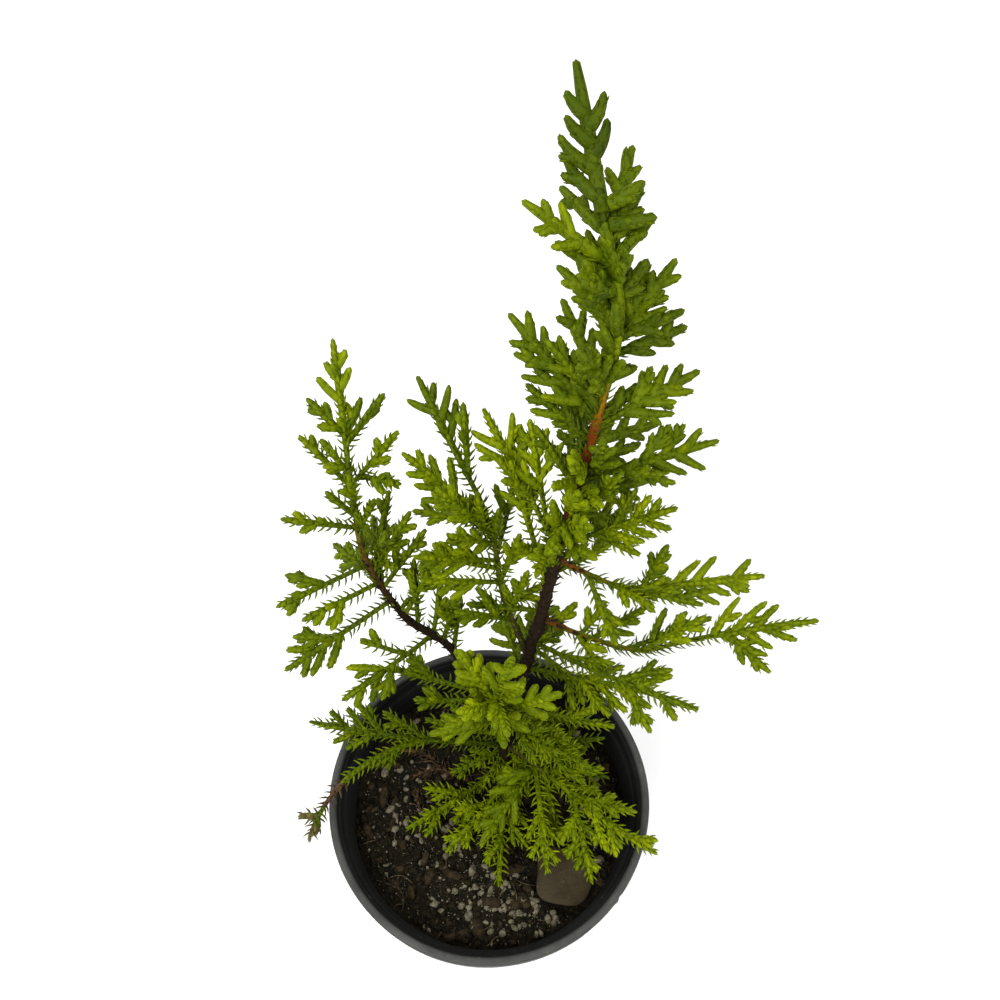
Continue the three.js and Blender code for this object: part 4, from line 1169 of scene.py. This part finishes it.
def limb_shape(name, seed):
    """A limb: even rings along its path, the radius its even taper times a relief of old leaf bases, which
    stand in pairs turned by a right angle from one pair to the next, long furrows and small lumps. The trunk's
    foot goes a little way into the soil. Also gives each point's share along the limb."""
    path, sides = limb_paths[name], BARK_SIDES
    share, run = run_along(path)
    rings = int(run[-1] / BARK_STEP)
    length = np.linspace(0, run[-1], rings)
    share = np.interp(length, run, share)
    middle, radius = path(share), bark_radius(name, share)
    turn = np.arange(sides) * 2 * np.pi / sides
    spot = np.stack(np.broadcast_arrays(
        np.cos(turn) * 3.0, np.sin(turn) * 3.0, length[:, None] / 2.6), -1).reshape(-1, 3)
    furrow = lattice_noise(spot * [1, 1, 0.35], 1.1, seed).reshape(rings, sides)
    lump = lattice_noise(spot, 0.8, seed + 50).reshape(rings, sides)
    pair = length / BASE_SPACING
    which = np.floor(pair).astype(int)
    nearness = np.exp(-(((pair - which - 0.42) / 0.3) ** 2))[:, None]
    ridge = np.abs(np.cos(turn[None] + (which % 2)[:, None] * np.pi / 2 + 0.3)) ** 5
    relief = 0.2 * furrow + 0.16 * lump + 0.42 * ridge * nearness / np.maximum(radius, 1.2)[:, None]
    radii = radius[:, None] * (0.93 + 0.72 * relief * np.minimum(1, 1.6 / radius[:, None] + 0.25))
    heading = heading_on(path, share)
    right = unit(np.cross(heading, LIMB_FRONT))
    front = np.cross(heading, right)
    circle = right[:, None] * np.cos(turn)[:, None] + front[:, None] * np.sin(turn)[:, None]
    body = middle[:, None] + radii[..., None] * circle
    tip = middle[-1:] + heading[-1:] * radius[-1] * 0.7
    points = np.vstack([middle[:1], body.reshape(-1, 3), tip])
    along = np.concatenate([[0], np.repeat(share, sides), [1]])
    return (points, *tube_faces(rings, sides, 1)), along


# ---------------------------------------------------------------- leaves on the twigs

# How each part of the crown grows: how much of a needle the leaves are at the foot and the tip of a stem and
# of a shoot, from 0 for a scale to 1 for a needle, the tone of its green, from 0 dark to 5 pale, how far its
# shoots draw in to a point, from 0 blunt to 1, the share of its shoots that branch again, and the share of
# its shoots that are missing
Habit = namedtuple("Habit", "stem_foot stem_tip shoot_foot shoot_tip tone pointed branching missing")
HABITS = {
    "leader": (0.15, 0.0, 0.0, 0.0, 1.45, 1.0, 0.0, 0.56),
    "upper_bough": (0.6, 0.05, 0.1, 0.0, 3.4, 0.8, 0.3, 0.2),
    "upper": (0.2, 0.0, 0.0, 0.0, 2.25, 1.0, 0.3, 0.2),
    "near": (0.2, 0.0, 0.0, 0.0, 2.4, 0.8, 0.4, 0.0),
    "upper_left_1b": (0.7, 0.1, 0.1, 0.0, 2.5, 0.8, 0.0, 0.65),
    "upper_left_1c": (0.5, 0.1, 0.1, 0.0, 2.2, 0.8, 0.0, 0.6),
    "right_high": (0.35, 0.05, 0.05, 0.0, 2.7, 0.9, 0.3, 0.15),
    "right": (0.9, 0.2, 0.3, 0.0, 3.4, 0.7, 0.2, 0.35),
    "right_middle": (1.0, 0.25, 0.6, 0.05, 3.3, 0.6, 0.15, 0.42),
    "centre": (0.9, 0.15, 0.15, 0.0, 4.15, 0.6, 0.1, 0.52),
    "centre_near": (0.5, 0.0, 0.0, 0.0, 3.8, 0.5, 0.15, 0.1),
    "centre_near_h": (0.8, 0.1, 0.1, 0.0, 3.3, 0.6, 0.0, 0.75),
    "star": (0.5, 0.0, 0.0, 0.0, 3.8, 0.35, 0.0, 0.15),
    "front": (1.0, 0.8, 1.0, 0.5, 3.3, 0.3, 0.3, 0.42),
    "front_fill": (1.0, 0.8, 1.0, 0.6, 2.6, 0.3, 0.15, 0.5),
    "front_right_1": (1.0, 0.5, 0.8, 0.1, 3.5, 0.3, 0.3, 0.38),
    "front_right_4": (0.9, 0.2, 0.3, 0.0, 3.7, 0.3, 0.3, 0.35),
    "front_right_7": (0.7, 0.1, 0.1, 0.0, 3.5, 0.2, 0.3, 0.2),
    "front_middle_b": (0.7, 0.0, 0.0, 0.0, 3.0, 0.2, 0.3, 0.3),
    "right_low": (1.0, 0.35, 0.6, 0.1, 3.2, 0.4, 0.1, 0.68),
    "right_9": (1.0, 0.35, 0.6, 0.1, 3.2, 0.4, 0.2, 0.4),
    "right_10": (1.0, 0.35, 0.6, 0.1, 3.2, 0.4, 0.2, 0.5),
    "low": (1.0, 0.5, 0.9, 0.2, 2.4, 0.3, 0.15, 0.55),
    "left": (1.0, 0.2, 0.35, 0.0, 2.9, 0.3, 0.3, 0.4),
    "left_top": (0.6, 0.1, 0.1, 0.0, 2.9, 0.3, 0.2, 0.5),
    "middle": (0.9, 0.15, 0.25, 0.0, 3.3, 0.5, 0.2, 0.5),
    "middle_top": (0.8, 0.0, 0.1, 0.0, 2.8, 0.5, 0.2, 0.5),
    "back": (0.6, 0.1, 0.3, 0.0, 2.1, 0.5, 0.5, 0.1),
}
# These masses have the habit of the near clusters
STAR_MASSES = ("front_top", "front_1", "front_2", "front_3")

# Tones below 0: dead leaves, fading ones and dry stubs. A tone under DEAD_TONE is one of them
DEAD, FADING, STUB, DEAD_TONE = -1.0, -2.0, -3.0, -0.8
# The half-dead shoot, its stretches as share at foot and tip, tone and outer radius, and by how much its
# control point is moved, so that it bows out over the pot's rim
DRY_SHOOT = "low_left_dry"
DRY_STRETCHES = [
    (0.0, 0.56, 2.6, 1.15), (0.56, 0.66, DEAD, 1.25), (0.66, 0.77, DEAD, 1.0), (0.77, 0.9, 1.0, 1.1),
    (0.9, 1.0, FADING, 1.1),
]
DRY_BOW = np.array([-13.0, 9.0, 2.0])
# The leafy stretches of the limbs: share at foot and tip, outer radius, leaf kind, tone
LEAFY_LIMBS = {
    "trunk": [(0.71, 0.8, 1.75, 0.2, 3.4), (0.8, 0.9, 1.85, 0.2, 2.9), (0.9, 1.0, 1.7, 0.2, 2.4)],
    "middle_bough": [(0.25, 0.6, 1.2, 1.0, 2.0), (0.6, 1.0, 1.2, 1.0, 2.4)],
    "front_bough": [(0.3, 0.65, 1.2, 1.0, 2.2), (0.65, 1.0, 1.2, 0.9, 2.6)],
    "low_right_bough": [(0.1, 0.5, 1.25, 1.0, 2.4), (0.5, 1.0, 1.25, 1.0, 2.8)],
}
# Dead sprigs on the soil left of the trunk: where each begins, its heading in degrees and its length
DEAD_SPRIGS = (
    (-6, 9, 150, 17), (-14, 13, 190, 14), (-9, 4, 215, 12), (-20, 17, 165, 13), (-3, 2, 250, 9),
    (14, 24, 20, 12), (-24, -2, 100, 8), (30, 8, 320, 10), (9, -14, 200, 8),
)
# The outer radius of a leafy shoot, bud and twiglet, and of a stem's bare part under its needles
LEAFY_RADIUS, BARE_RADIUS = {"shoot": 1.32, "bud": 1.2, "twiglet": 1.15}, 1.15
# How much thicker the shoots of these habits are
THICKENING = {"star": 1.15, "leader": 1.3, "upper": 1.12, "near": 1.12, "centre_near": 1.1}
# How far shoots sweep up along their stem and how much they bow, as shares of their length
PLAIN_SWEEP, SWEEP = (0.0, 0.08), {"leader": (0.1, 0.2)}
# A shoot from this length on is missing less often, by this factor
LONGER_SHOOT, LONGER_SHOOT_LOSS = 8.5, 0.6
# A leafy twig is wider across its spray than it is deep
TWIG_FLATNESS = (1.12, 0.88)
# Pairs of leaves stand this far apart on a twig and on a limb, and the leaves near a tip close over its end
PAIR_SPACING, LIMB_PAIR_SPACING, TIP_CLOSES = 1.12, 1.0, (0.4, 2.8)


def habit_name(mass):
    """The habit whose name begins the mass's name, the longest where several do."""
    if mass.startswith(STAR_MASSES):
        return "star"
    return max((key for key in HABITS if mass.startswith(key)), key=len)


def habit_of(mass):
    """How the mass grows."""
    return Habit(*HABITS[habit_name(mass)])


def thinned(grown, chance):
    """The shoots that the plant keeps, each with its bud or without both: some are missing, of the longer ones
    and of those near a spray's tip fewer. The rule's single needles give way to the leaves."""
    kept, keeps = [], False
    for piece in grown:
        if piece["kind"] == "shoot":
            missing = habit_of(piece["stem"]["mass"]).missing
            missing *= (1 if piece["length"] < LONGER_SHOOT else LONGER_SHOOT_LOSS) * (1.45 - piece["share"])
            keeps = chance.random() >= missing
        if keeps and piece["kind"] != "needle":
            kept.append(piece)
    return kept


# The columns of a twig's row of numbers
RADIUS, FOOT_KIND, TIP_KIND, FOOT_TONE, TIP_TONE, CLOSED, POINTED = range(7)


class Twigs:
    """Every leafy stretch of the plant, as rows: a bowed path's three points, the outer radius, the leaves'
    kind at foot and tip, the tone at foot and tip, how far its end closes and draws in to a point, and the
    direction that its flat side faces."""

    def __init__(self):
        self.bends, self.numbers, self.fronts = [], [], []

    def add(self, bend, radius, kinds, tones, front, closed=1.0, pointed=0.4):
        """Adds one row."""
        self.bends.append(np.array(bend))
        self.numbers.append((radius, *kinds, *tones, closed, pointed))
        self.fronts.append(front)

    def arrays(self):
        """The rows as arrays: the paths' points, the numbers and the directions."""
        return np.array(self.bends), np.array(self.numbers), np.array(self.fronts)


def part_of_bend(bend, low, high):
    """The three points of the part of a bowed path between two shares, by the curve's own blossom."""
    root, control, tip = bend

    def at(s, t):
        return (1 - s) * (1 - t) * root + (s * (1 - t) + t * (1 - s)) * control + s * t * tip

    return at(low, low), at(low, high), at(high, high)


def add_stem(leafy, stem):
    """A stem's leafy stretches: its bare part carries needles alone, and the rest is as its habit says. The
    half-dead shoot has stretches of its own."""
    habit, bend, reach = habit_of(stem["mass"]), stem["bend"], stem["reach"]
    foot_tone, tip_tone = stem["tone"] - 0.6, stem["tone"] + 0.2
    first = stem["first"] - (CLEARANCE + 0.5) / stem["length"] if stem["first"] > 0 else 0.0
    low = min(max(stem["bare"], stem["first"]), reach)
    if stem["name"] == DRY_SHOOT:
        root, control, tip = bend
        for start, end, tone, radius in DRY_STRETCHES:
            part = part_of_bend((root, control + DRY_BOW, tip), first if start == 0 else start, min(end, reach))
            closed = 0.0 if end < 1 else 1.0
            leafy.add(part, radius, (1.0, 0.85), (tone, tone), stem["face"], closed)
        return
    if low > stem["first"] + 0.02:
        kind = min(1.0, habit.stem_foot + 0.15)
        part, tones = part_of_bend(bend, first, low), (foot_tone - 0.7, foot_tone - 0.2)
        leafy.add(part, BARE_RADIUS, (kind, kind), tones, stem["face"], 0.0)
    if reach > low + 0.02:
        radius = (1.3 + 0.2 * habit.pointed) * THICKENING.get(habit_name(stem["mass"]), 1.0)
        kinds, tones = (habit.stem_foot, habit.stem_tip), (foot_tone, tip_tone)
        leafy.add(part_of_bend(bend, low, reach), radius, kinds, tones, stem["face"], 1.0, 0.6 * habit.pointed)


def add_shoot(leafy, piece, tone):
    """A shoot, bud or twiglet as a leafy stretch that bows outwards and turns its tip forward. A shoot also
    sweeps up along its stem where its habit says so, and the half-dead shoot's own are moved with its bow."""
    stem, share, start, end = piece["stem"], piece["share"], piece["start"], piece["end"]
    name, habit = habit_name(stem["mass"]), habit_of(stem["mass"])
    if stem["name"] == DRY_SHOOT:
        bowed = 2 * share * (1 - share) * DRY_BOW
        start, end = start + bowed, end + bowed
        tone = -1.5 if share < 0.95 else FADING
    swept, bow = SWEEP.get(name, PLAIN_SWEEP)
    if piece["kind"] == "shoot":
        end = start + piece["length"] * unit(unit(end - start) + swept * heading_on(stem["path"], share))
    control = (start + end) / 2 + bow * piece["length"] * piece["outward"]
    radius = LEAFY_RADIUS[piece["kind"]] * THICKENING.get(name, 1.0)
    foot_kind = habit.shoot_foot * (0.7 if piece["kind"] == "twiglet" else 1)
    kinds, tones = (foot_kind, habit.shoot_tip), (tone - 0.5, tone + 0.5)
    leafy.add((start, control, end), radius, kinds, tones, piece["front"], 1.0, habit.pointed)


def twigs_of(stems, grown, chance):
    """The stems, the leafy stretches of the limbs and the shoots, each stem and shoot with a tone of its own
    that strays from its habit's."""
    leafy = Twigs()
    for stem in stems.values():
        stem["tone"] = habit_of(stem["mass"]).tone + chance.normal() * 0.4
        add_stem(leafy, stem)
    for limb, stretches in LEAFY_LIMBS.items():
        for low, high, radius, kind, tone in stretches:
            foot, middle, tip = (limb_paths[limb](share) for share in (low, (low + high) / 2, high))
            bend, front = (foot, 2 * middle - (foot + tip) / 2, tip), unit(np.cross(tip - foot, [1.0, 0.3, 0]))
            leafy.add(bend, radius, (kind, kind), (tone, tone), front, 0.0, 0.0)
    for piece in grown:
        add_shoot(leafy, piece, piece["stem"]["tone"] + 0.3 * piece["share"] + chance.normal() * 0.5)
    return leafy


def outer_radius(radius, share, closed, pointed):
    """How thick a leafy twig is along its length. A blunt one swells a little and rounds off at its tip, a
    pointed one is widest at its foot and draws in by the 1.4th power of the share."""
    blunt = 0.9 + 0.14 * smoothstep(share, 0.0, 0.6) - 0.5 * closed * smoothstep(share, 0.78, 1.0)
    sharp = 1.22 - 0.7 * closed * share**1.4
    return radius * (blunt + (sharp - blunt) * pointed)


def bend_points(bends, share):
    """Points of many bowed paths, one share each."""
    t = share[..., None]
    return (1 - t) ** 2 * bends[..., 0, :] + 2 * t * (1 - t) * bends[..., 1, :] + t**2 * bends[..., 2, :]


def bend_headings(bends, share):
    """Unit headings of many bowed paths, one share each, from the slope of the curve."""
    t = share[..., None]
    slope = (1 - t) * (bends[..., 1, :] - bends[..., 0, :]) + t * (bends[..., 2, :] - bends[..., 1, :])
    return unit(slope)


def cores_of(bends, numbers, fronts):
    """The twigs under the leaves: flattened bodies of a few rings, thinner under needles than under scales."""
    rings, sides = 7, 8
    t = np.linspace(0, 1, rings)
    share = np.broadcast_to(t, (len(bends), rings))
    middles = bend_points(bends[:, None], share)
    columns = [RADIUS, FOOT_KIND, TIP_KIND, CLOSED, POINTED]
    radius, foot_kind, tip_kind, closed, pointed = numbers[:, columns].T[..., None]
    kind = foot_kind + (tip_kind - foot_kind) * t
    radii = outer_radius(radius, share, closed, pointed) * (0.92 - 0.34 * kind)
    return tubes(middles, radii, fronts, sides, (0.2, 1.0), TWIG_FLATNESS)


def clothe(bends, numbers, fronts, chance):
    """Leaves in pairs along every twig, each pair turned by a right angle from the last. A scale is short,
    wide and pressed to the twig, a needle long, narrow and spread, and near a tip the leaves close to a bud,
    so each measure is a scale's plus the kind times a change, less a part where the leaves close. Gives the
    arrays of the leaves and the tone of each."""
    length = np.linalg.norm(np.diff(bends, axis=1), axis=2).sum(1)
    spacing = PAIR_SPACING + 0.02 * (numbers[:, FOOT_KIND] + numbers[:, TIP_KIND]) / 2
    count = np.maximum(2, np.round((length - 0.5 * numbers[:, CLOSED]) / spacing)).astype(int)
    twig = np.repeat(np.arange(len(bends)), 2 * count)
    first = np.repeat(np.cumsum(2 * count) - 2 * count, 2 * count)
    rank = np.arange(len(twig)) - first
    node, mate = rank // 2, rank % 2
    share = (node + 0.3) / count[twig] * (1 - 0.5 * numbers[twig, CLOSED] / length[twig])
    share = share + chance.normal(size=len(twig)) * 0.1 * spacing[twig] / length[twig]
    share = np.clip(share, 0.0, 1.0)
    radius, foot_kind, tip_kind, foot_tone, tip_tone, closed, pointed = numbers[twig].T
    kind = foot_kind + (tip_kind - foot_kind) * share + chance.normal(size=len(twig)) * 0.07
    kind = np.clip(kind, 0, 1)
    to_tip = (1 - share) * length[twig]
    closing = closed * (1 - smoothstep(to_tip, *TIP_CLOSES))
    heading = bend_headings(bends[twig], share)
    across = unit(np.cross(heading, fronts[twig]))
    facing = np.cross(across, heading)
    roll = (node % 2) * np.pi / 2 + mate * np.pi + chance.normal(size=len(twig)) * (0.08 + 0.25 * kind)
    outward = across * np.cos(roll)[:, None] + facing * np.sin(roll)[:, None]
    side, front = TWIG_FLATNESS
    flat = side * np.cos(roll) ** 2 + front * np.sin(roll) ** 2
    wide = outer_radius(radius, share, closed, pointed)
    base = bend_points(bends[twig], share) + outward * (wide * flat * (0.46 - 0.1 * closing))[:, None]
    size = chance.uniform(0.9, 1.12, len(twig))
    leaf_length = (2.5 + 0.7 * kind) * (1 - 0.36 * closing) * size
    width = wide * (0.92 - 0.42 * kind) * (1 - 0.1 * closing)
    depth = wide * (0.32 + 0.14 * kind)
    stray = (4 + 5 * kind) * chance.normal(size=len(twig))
    spread_foot = np.radians(8 + 60 * kind - (10 + 16 * kind) * closing + stray)
    spread_tip = np.radians(1 + 42 * kind - (18 + 18 * kind) * closing + stray)
    fullness = 3.2 - 1.5 * kind
    # Needle-like leaves get a paler green, by 0.5 times their kind: partly their own paler green, partly
    # painted highlight where their narrow edges catch the light
    tone = foot_tone + (tip_tone - foot_tone) * share + 0.5 * kind + chance.normal(size=len(twig)) * 0.28
    tone = np.where(foot_tone < DEAD_TONE, foot_tone, np.maximum(tone, 0))
    return (base, heading, outward, leaf_length, width, depth, spread_foot, spread_tip, fullness), tone


def limb_needles(chance):
    """The needles and their dry stubs on the limbs' bare parts, in even pairs: short and brown on the old wood
    at the foot, long and green towards the tip."""
    parts, tones = [], []
    for name, path in limb_paths.items():
        share, run = run_along(path)
        reach = np.arange(5.0 if name == "trunk" else 2.5, run[-1] - 1, LIMB_PAIR_SPACING)
        at = np.interp(np.repeat(reach, 2), run, share)
        number = np.repeat(np.arange(len(reach)), 2)
        mate = np.arange(len(at)) % 2
        keep = chance.random(len(at)) < (0.75 + 0.25 * at)
        keep &= at < (LEAFY_LIMBS[name][0][0] if name in LEAFY_LIMBS else 1.1)
        at, number, mate = at[keep], number[keep], mate[keep]
        heading = heading_on(path, at)
        right = unit(np.cross(heading, LIMB_FRONT))
        front = np.cross(heading, right)
        roll = -0.3 + (number % 2) * np.pi / 2 + mate * np.pi + chance.normal(size=len(at)) * 0.35
        outward = right * np.cos(roll)[:, None] + front * np.sin(roll)[:, None]
        green = at if name == "trunk" else np.minimum(1, at + (0.0 if name == "left_bough" else 0.35))
        base = path(at) + outward * (0.75 * bark_radius(name, at))[:, None]
        length = (2.4 + 1.5 * green) * chance.uniform(0.7, 1.25, len(at))
        turn = np.radians(66 - 16 * green + 9 * chance.normal(size=len(at)))
        old = green + 0.12 * chance.normal(size=len(at)) < 0.5
        width, same = np.where(old, 0.62, 0.5 + 0.1 * green), np.ones(len(at))
        parts.append((base, heading, outward, length, width, 0.46 * same, turn, turn * 0.6, 1.7 * same))
        tones.append(np.where(old, STUB, 1.6 + 0.9 * green))
    return tuple(np.concatenate(column) for column in zip(*parts)), np.concatenate(tones)


def dead_sprigs(chance):
    """Dead sprigs that lie on the soil: low curves with needles, each bowed to a side by chance."""
    twigs = Twigs()
    for x, y, degrees, length in DEAD_SPRIGS:
        turn = math.radians(degrees)
        t = np.array([0.0, 0.5, 1.0])
        bow = np.array([0.0, 0.22, 0.0]) * length * chance.uniform(-1, 1)
        px = x + t * length * math.cos(turn) - bow * math.sin(turn)
        py = y + t * length * math.sin(turn) + bow * math.cos(turn)
        pz = soil_top(px, py) + np.array([0.5, 2.0, 0.6])
        twigs.add(np.stack([px, py, pz], -1), 0.72, (0.9, 0.75), (DEAD, DEAD), np.array([0.0, 0, 1]))
    return twigs


# ---------------------------------------------------------------- the plant

# The greens as a screen shows them, from dark to pale, each then dimmed by one gain
GREENS = {
    "deep_green": (54, 70, 0), "olive_green": (68, 85, 0), "leaf_green": (81, 99, 0),
    "fresh_green": (95, 113, 0), "lime_green": (109, 127, 0), "pale_lime": (124, 142, 0),
}
GREEN_GAIN = 0.92
# The green whose leaves stand for the masses, counted from dark
MASS_GREEN = 3
# A leaf has 32 triangles, and a piece stays under 200,000
MOST_LEAVES = 6000


def shade_numbers(tones):
    """Tones dealt out to the greens by their number, and below 0 to dead leaves, fading ones and stubs."""
    dead = np.where(tones < -2.5, STUB, np.where(tones < -1.7, FADING, DEAD))
    return np.where(tones < DEAD_TONE, dead, np.clip(np.round(tones), 0, len(GREENS) - 1)).astype(int)


limb_paths = {name: limb_path(places) for name, (places, _) in LIMBS.items()}
room = Room(MOST_STRETCHES)
for limb_name, path in limb_paths.items():
    for step in range(LIMB_STEPS):
        start, end = path(step / LIMB_STEPS), path((step + 1) / LIMB_STEPS)
        room.take(start, end, float(limb_radius(limb_name, step / LIMB_STEPS)), limb_name)
stems, grown = {}, []
masses = [name for name, carrier, *_ in SPRAYS if carrier in LIMBS]
for first_index, rows in ((0, SPRAYS), (len(SPRAYS), SMALL_SPRAYS)):
    for row in rows:
        grow_stem(room, stems, row)
    for index, row in enumerate(rows, first_index):
        grow_shoots(room, stems[row[0]], index, grown)
        grow_needles(room, stems[row[0]], grown)
    room.spare = SMALL_GAP
chance = np.random.default_rng(CHANCE_SEED)
grown = thinned(grown, chance)
grown += grow_twiglets(room, grown, chance)
grown += grow_face_shoots(room, stems, chance)

bends, numbers, fronts = twigs_of(stems, grown, chance).arrays()
leaf_arrays, leaf_tones = clothe(bends, numbers, fronts, chance)
limb_arrays, limb_tones = limb_needles(chance)
dead_bends, dead_numbers, dead_fronts = dead_sprigs(chance).arrays()
dead_arrays, dead_tones = clothe(dead_bends, dead_numbers, dead_fronts, chance)
leaf_arrays = tuple(np.concatenate(column) for column in zip(leaf_arrays, limb_arrays, dead_arrays))
leaf_shades = shade_numbers(np.concatenate([leaf_tones, limb_tones, dead_tones]))
bends, numbers = np.concatenate([bends, dead_bends]), np.concatenate([numbers, dead_numbers])
fronts = np.concatenate([fronts, dead_fronts])
twig_shades = shade_numbers((numbers[:, FOOT_TONE] + numbers[:, TIP_TONE]) / 2 - 0.3)

shades = {
    number: (name, leaf_green(name, shaded(screen_colour(*seen), GREEN_GAIN)))
    for number, (name, seen) in enumerate(GREENS.items())
}
shades[DEAD] = ("dead_brown", dead_brown("dead_leaf_brown", (0.066, 0.034, 0.012)))
shades[FADING] = ("fading_olive", dead_brown("fading_olive", (0.1, 0.085, 0.02)))
shades[STUB] = ("dry_stubs", dead_brown("dry_stub_brown", (0.014, 0.009, 0.004)))
for shade, (shade_name, finish) in shades.items():
    chosen = np.flatnonzero(leaf_shades == shade)
    parts = -(-len(chosen) // MOST_LEAVES)
    for part, some in enumerate(np.array_split(chosen, parts) if parts else ()):
        shape = leaves(*(column[some] for column in leaf_arrays))
        stands_for = masses if shade == MASS_GREEN and part == 0 else ()
        label = f"leaves_{shade_name}" + (f"_{part + 1}" if parts > 1 else "")
        make_piece(label, shape, finish, stands_for)
    chosen = twig_shades == shade
    if chosen.any():
        shape = cores_of(bends[chosen], numbers[chosen], fronts[chosen])
        make_piece(f"twigs_{shade_name}", shape, finish)

# Bark colours at shares along a limb, from its foot to its green tip
OLD_WOOD = [
    (0.0, (0.012, 0.008, 0.005)), (0.48, (0.02, 0.011, 0.006)), (0.56, (0.055, 0.012, 0.004)),
    (0.63, (0.15, 0.034, 0.003)), (0.68, (0.25, 0.11, 0.003)), (0.72, (0.17, 0.15, 0.004)),
    (1.0, (0.09, 0.13, 0.003)),
]
DARK_WOOD = [
    (0.0, (0.006, 0.004, 0.002)), (0.45, (0.01, 0.007, 0.003)), (0.6, (0.09, 0.045, 0.008)),
    (0.7, (0.12, 0.11, 0.01)), (1.0, (0.1, 0.14, 0.008)),
]
YOUNG_WOOD = [
    (0.0, (0.06, 0.022, 0.004)), (0.14, (0.14, 0.05, 0.004)), (0.32, (0.12, 0.1, 0.006)),
    (1.0, (0.09, 0.13, 0.004)),
]
GREEN_WOOD = [(0.0, (0.03, 0.022, 0.008)), (0.3, (0.06, 0.06, 0.008)), (1.0, (0.08, 0.11, 0.006))]
woods = {
    "trunk": limb_bark("trunk_bark", OLD_WOOD),
    "left_bough": limb_bark("dark_bough_bark", DARK_WOOD),
    "front_bough": limb_bark("green_bough_bark", GREEN_WOOD),
}
woods["low_right_bough"] = woods["middle_bough"] = woods["front_bough"]
young_bark = limb_bark("young_bough_bark", YOUNG_WOOD)
for seed, limb_name in enumerate(LIMBS, BARK_SEED):
    shape, along = limb_shape(limb_name, seed)
    wood = woods.get(limb_name, young_bark)
    make_piece(f"{limb_name}_bark", shape, wood, (limb_name,), along=along)

# ---------------------------------------------------------------- the pot and its filling

# Where the white grains lie close together
WHITE_SPOTS = [
    (-9, -27), (-4, -33), (10, -37), (-24, -6), (-34, 4), (-15, -14), (21, -39), (-2, -25), (6, -30),
]

cut_drain_holes(make_piece("nursery_pot", pot_shape(), moulded_plastic(), ("pot",)))
make_piece("potting_mix", soil_shape(), potting_earth(), ("soil",))
crumb = grain_finish("peat_crumb", (0.0018, 0.0014, 0.0006), (0.017, 0.0125, 0.004), 0.85)
white = grain_finish("perlite_white", (0.045, 0.038, 0.02), (0.2, 0.18, 0.12), 0.8, 800)
bit = grain_finish("composted_bark", (0.006, 0.004, 0.0015), (0.036, 0.024, 0.01), 0.8, 600)
fibre = grain_finish("root_fibre", (0.03, 0.02, 0.011), (0.12, 0.085, 0.045), 0.75)
shape = strewn(2600, chance, (0.3, 1.35, 0.55, 1.5), 0.3, 0.2, 3, 6)
make_piece("soil_crumbs", shape, crumb, flat=True)
shapes = [
    strewn(430, chance, (0.3, 1.75, 0.55, 1.4), 0.42, 0.28, 4, 7, clusters=WHITE_SPOTS, share=0.62, spread=6.5),
    strewn(1700, chance, (0.12, 0.42, 0.7, 1.3), 0.3, 0.2, 2, 5, clusters=WHITE_SPOTS, share=0.3, spread=9.0),
]
make_piece("white_grains", joined(shapes), white)
shape = strewn(300, chance, (0.5, 2.2, 0.25, 2.2), 0.25, 0.2, 3, 6)
make_piece("bark_bits", shape, bit, flat=True)
make_piece("root_fibres", strewn_fibres(70, chance, (4, 12), (0.09, 0.2)), fibre)
make_piece("bark_slab", slab_shape(), slab_bark(), ("flat_chip",))

# ---------------------------------------------------------------- floor, light and camera


def pale_floor():
    """A plain pale floor far wider than the view."""
    mesh, reach = bpy.data.meshes.new("studio_floor"), 4
    corners = [(-reach, -reach, 0), (reach, -reach, 0), (reach, reach, 0), (-reach, reach, 0)]
    mesh.from_pydata(corners, [], [(0, 1, 2, 3)])
    floor = bpy.data.objects.new("studio_floor", mesh)
    bpy.context.scene.collection.objects.link(floor)
    made = Finish("studio_white", Roughness=0.9, Specular_IOR_Level=0.1)
    mesh.materials.append(made.finish(made.blend(made.noise(3, 1.0), (0.94, 0.94, 0.94), (0.96, 0.96, 0.96))))


def soft_light(name, spot, aim, size, power):
    """A square soft light at a spot in metres, turned to face its aim."""
    light = bpy.data.lights.new(name, "AREA")
    light.shape, light.size, light.energy = "SQUARE", size, power
    lamp = bpy.data.objects.new(name, light)
    bpy.context.scene.collection.objects.link(lamp)
    back = unit(np.array(spot, float) - np.array(aim, float))
    turn = math.atan2(back[0], -back[1])
    lamp.rotation_euler = (math.acos(back[2]), 0, turn)
    lamp.location = spot


pale_floor()
soft_light("key_softbox", (-0.55, -0.75, 1.15), (0, 0.03, 0.12), 0.7, 17)
soft_light("fill_softbox", (0.9, -0.35, 0.8), (0, 0.03, 0.12), 0.9, 7)
soft_light("back_softbox", (-0.8, 0.6, 1.0), (0, 0.05, 0.15), 0.8, 8)

world = bpy.data.worlds.new("soft_daylight")
world.use_nodes = True
sky = world.node_tree.nodes["Background"].inputs
sky["Color"].default_value, sky["Strength"].default_value = (1, 1, 1, 1), 0.62
bpy.context.scene.world = world
bpy.context.scene.view_settings.view_transform = "Standard"

# The photo's camera, fitted to the ellipses of rim, soil and base: its place in metres, its lens and sensor
# in millimetres, and how far it looks down in degrees
CAMERA_SPOT, LENS, SENSOR, LOOK_DOWN = (0.0038, -0.117, 0.430), 36, 36, 54.6
camera = bpy.data.objects.new("photo_camera", bpy.data.cameras.new("photo_camera"))
bpy.context.scene.collection.objects.link(camera)
camera.data.lens, camera.data.sensor_width = LENS, SENSOR
camera.data.clip_start, camera.data.clip_end = 0.02, 20
camera.location = CAMERA_SPOT
camera.rotation_euler = (math.radians(90 - LOOK_DOWN), 0, 0)
bpy.context.scene.camera = camera
